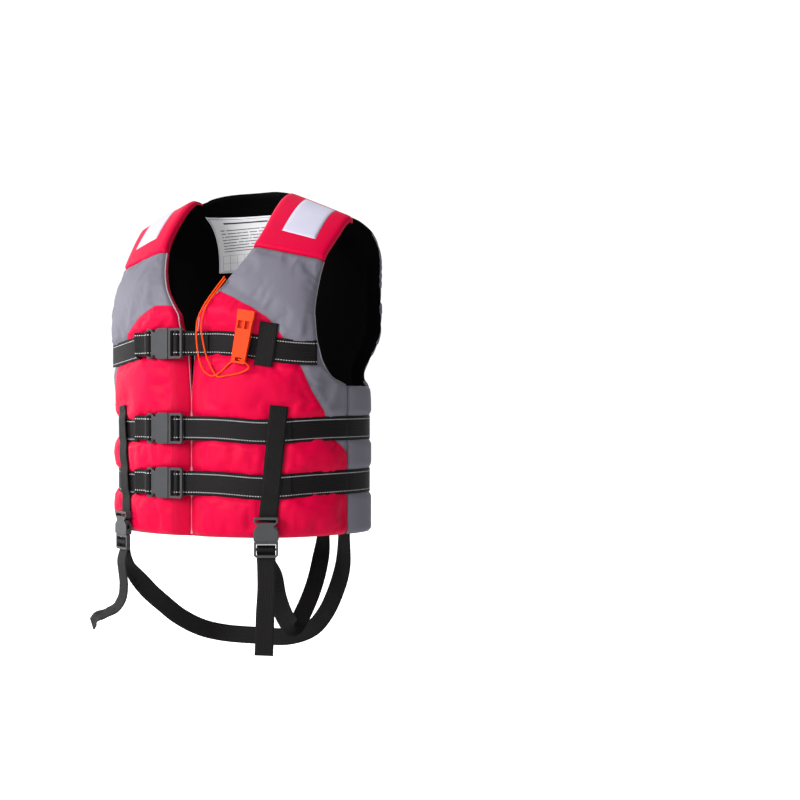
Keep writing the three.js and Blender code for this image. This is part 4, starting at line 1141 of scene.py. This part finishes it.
def whistle_frame():
    """The whistle's foot, and its directions across, outwards and up."""
    foot_x, foot_h, head_x, head_h = 89.0, 262.0, 102.0, 341.0
    foot, head = shell(angle_at(foot_x, False), foot_h), shell(angle_at(head_x, False), 300.0)
    foot[2], head[2] = foot_h - ORIGIN, head_h - ORIGIN
    up = unit(head - foot)
    out = shell_normal(angle_at((foot_x + head_x) / 2, False), 293.0)
    out = unit(out - up * (out @ up))
    return foot + out * 3.6, np.cross(out, up), out, up


def off_cloth(path, names, clear):
    """The path lifted, in a soft wave, until it lies outside the named pieces by this much."""
    graph = bpy.context.evaluated_depsgraph_get()
    trees = [BVHTree.FromObject(bpy.data.objects[name], graph) for name in names]
    outs = shell_normal(angle_at(path[:, 0], False), np.minimum(path[:, 2] + ORIGIN, 380.0))
    start, most = 30.0, 15.0  # each ray starts this far out, and no point is lifted more than this
    lack = np.zeros(len(path))
    for k, (point, out) in enumerate(zip(path, outs)):
        for tree in trees:
            hit = tree.ray_cast(Vector((point + out * start) * MM), Vector(-out), 0.05)
            need = clear + start - hit[3] / MM if hit[0] else 0.0
            if need < most:
                lack[k] = max(lack[k], need)
    wide = np.array([lack[max(0, k - 3) : k + 4].max() for k in range(len(lack))])
    weights = np.array([1, 2, 3, 4, 3, 2, 1]) / 16
    return path + outs * np.convolve(np.pad(wide, 3, "edge"), weights, "valid")[:, None]


def build_cord():
    """The cord, limp, from the neck's seam through the whistle's eye and back."""
    foot, across, out, up = whistle_frame()
    runs = []
    for run in (CORD_OUT, CORD_BACK):
        x, h, lift = np.array(run, float).T
        runs.append(off(angle_at(x, False), h, lift + CORD_WIDE / 2))
    inside = [foot + across * x + out * y + up * EYE_RISE for x, y in THROUGH_EYE]
    path = smooth_path([*runs[0], *inside, *runs[1]], 3.0)
    path = off_cloth(path, ("front_left_panel", "chest_belt_left_web", "chest_belt_tail_web"), 1.3) * MM
    data = bpy.data.curves.new("whistle_lanyard", "CURVE")
    data.dimensions = "3D"
    data.bevel_depth = CORD_WIDE / 2 * MM
    data.bevel_resolution = 3
    data.use_fill_caps = True
    spline = data.splines.new("POLY")
    spline.points.add(len(path) - 1)
    spline.points.foreach_set("co", np.concatenate([path, np.ones((len(path), 1))], 1).ravel())
    data.materials.append(MATERIALS["cord"])
    obj = link("whistle_lanyard", data)
    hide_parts("whistle_cord")
    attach(obj, "front_left")


build_cord()


# --- carried-over CAD pieces
def dress(name, material, bevel):
    """A carried-over CAD piece, with its material and softened edges."""
    obj = nodes[name]
    obj.data.materials.clear()
    obj.data.materials.append(MATERIALS[material])
    weld = obj.modifiers.new("weld", "WELD")
    weld.merge_threshold = 0.00001
    edge = obj.modifiers.new("bevel", "BEVEL")
    edge.width, edge.segments, edge.limit_method = bevel * MM, 2, "ANGLE"
    edge.angle_limit = math.radians(32)
    edge.use_clamp_overlap = True


for name in nodes:
    if "buckle" in name or "prong" in name:
        dress(name, "plastic", 0.5)
dress("whistle", "whistle", 0.6)


# --- floor and light
FLOOR_HALF, FLOOR_LEVEL = 7.0, -0.76
LAMPS = (  # name, place, size and power
    ("key", (-1.0, -2.6, 0.8), 1.3, 92),
    ("left", (-2.8, -0.3, 0.3), 1.6, 32),
    ("front", (0.4, -2.8, 0.4), 1.6, 26),
    ("top", (-0.2, -0.5, 2.2), 1.4, 16),
)


def build_floor():
    """The pale floor, plain to the camera."""
    mesh = bpy.data.meshes.new("floor")
    corners = [(x * FLOOR_HALF, y * FLOOR_HALF, FLOOR_LEVEL) for x, y in ((-1, -1), (1, -1), (1, 1), (-1, 1))]
    mesh.from_pydata(corners, [], [(0, 1, 2, 3)])
    s = Shader("floor_paint")
    s.set(Base_Color=(0.93, 0.93, 0.93, 1), Roughness=0.9, Specular_IOR_Level=0.0)
    s.set(Emission_Color=(1, 1, 1, 1), Emission_Strength=s.math("MULTIPLY_ADD", s.camera_ray(), 0.8, 0.05))
    mesh.materials.append(s.material)
    link("floor", mesh)


def build_world():
    """A studio that is white to the camera, and lights the jacket from its front left."""
    world = bpy.data.worlds.new("studio")
    world.use_nodes = True
    bpy.context.scene.world = world
    t = Tree(world.node_tree)
    ahead = t.node("ShaderNodeVectorMath", operation="DOT_PRODUCT")
    t.put(ahead.inputs[0], t.node("ShaderNodeTexCoord").outputs["Generated"])
    t.put(ahead.inputs[1], (-0.64, 0.77, 0.0))
    fade = t.node("ShaderNodeMapRange", interpolation_type="SMOOTHSTEP")
    for socket, value in zip(fade.inputs[:5], (ahead.outputs["Value"], -0.1, 0.6, 0.16, 1.06)):
        t.put(socket, value)
    background = t.tree.nodes["Background"]
    t.put(background.inputs["Color"], (1, 1, 1, 1))
    t.put(background.inputs["Strength"], t.math("MAXIMUM", fade.outputs[0], t.camera_ray()))


def build_lamps():
    for name, place, size, power in LAMPS:
        data = bpy.data.lights.new(name, "AREA")
        data.size, data.energy = size, power
        lamp = link(name, data)
        lamp.location = place
        lamp.rotation_euler = (Vector((0, 0, -0.25)) - Vector(place)).to_track_quat("-Z", "Y").to_euler()


build_floor()
build_world()
build_lamps()
bpy.context.scene.view_settings.view_transform = "Standard"
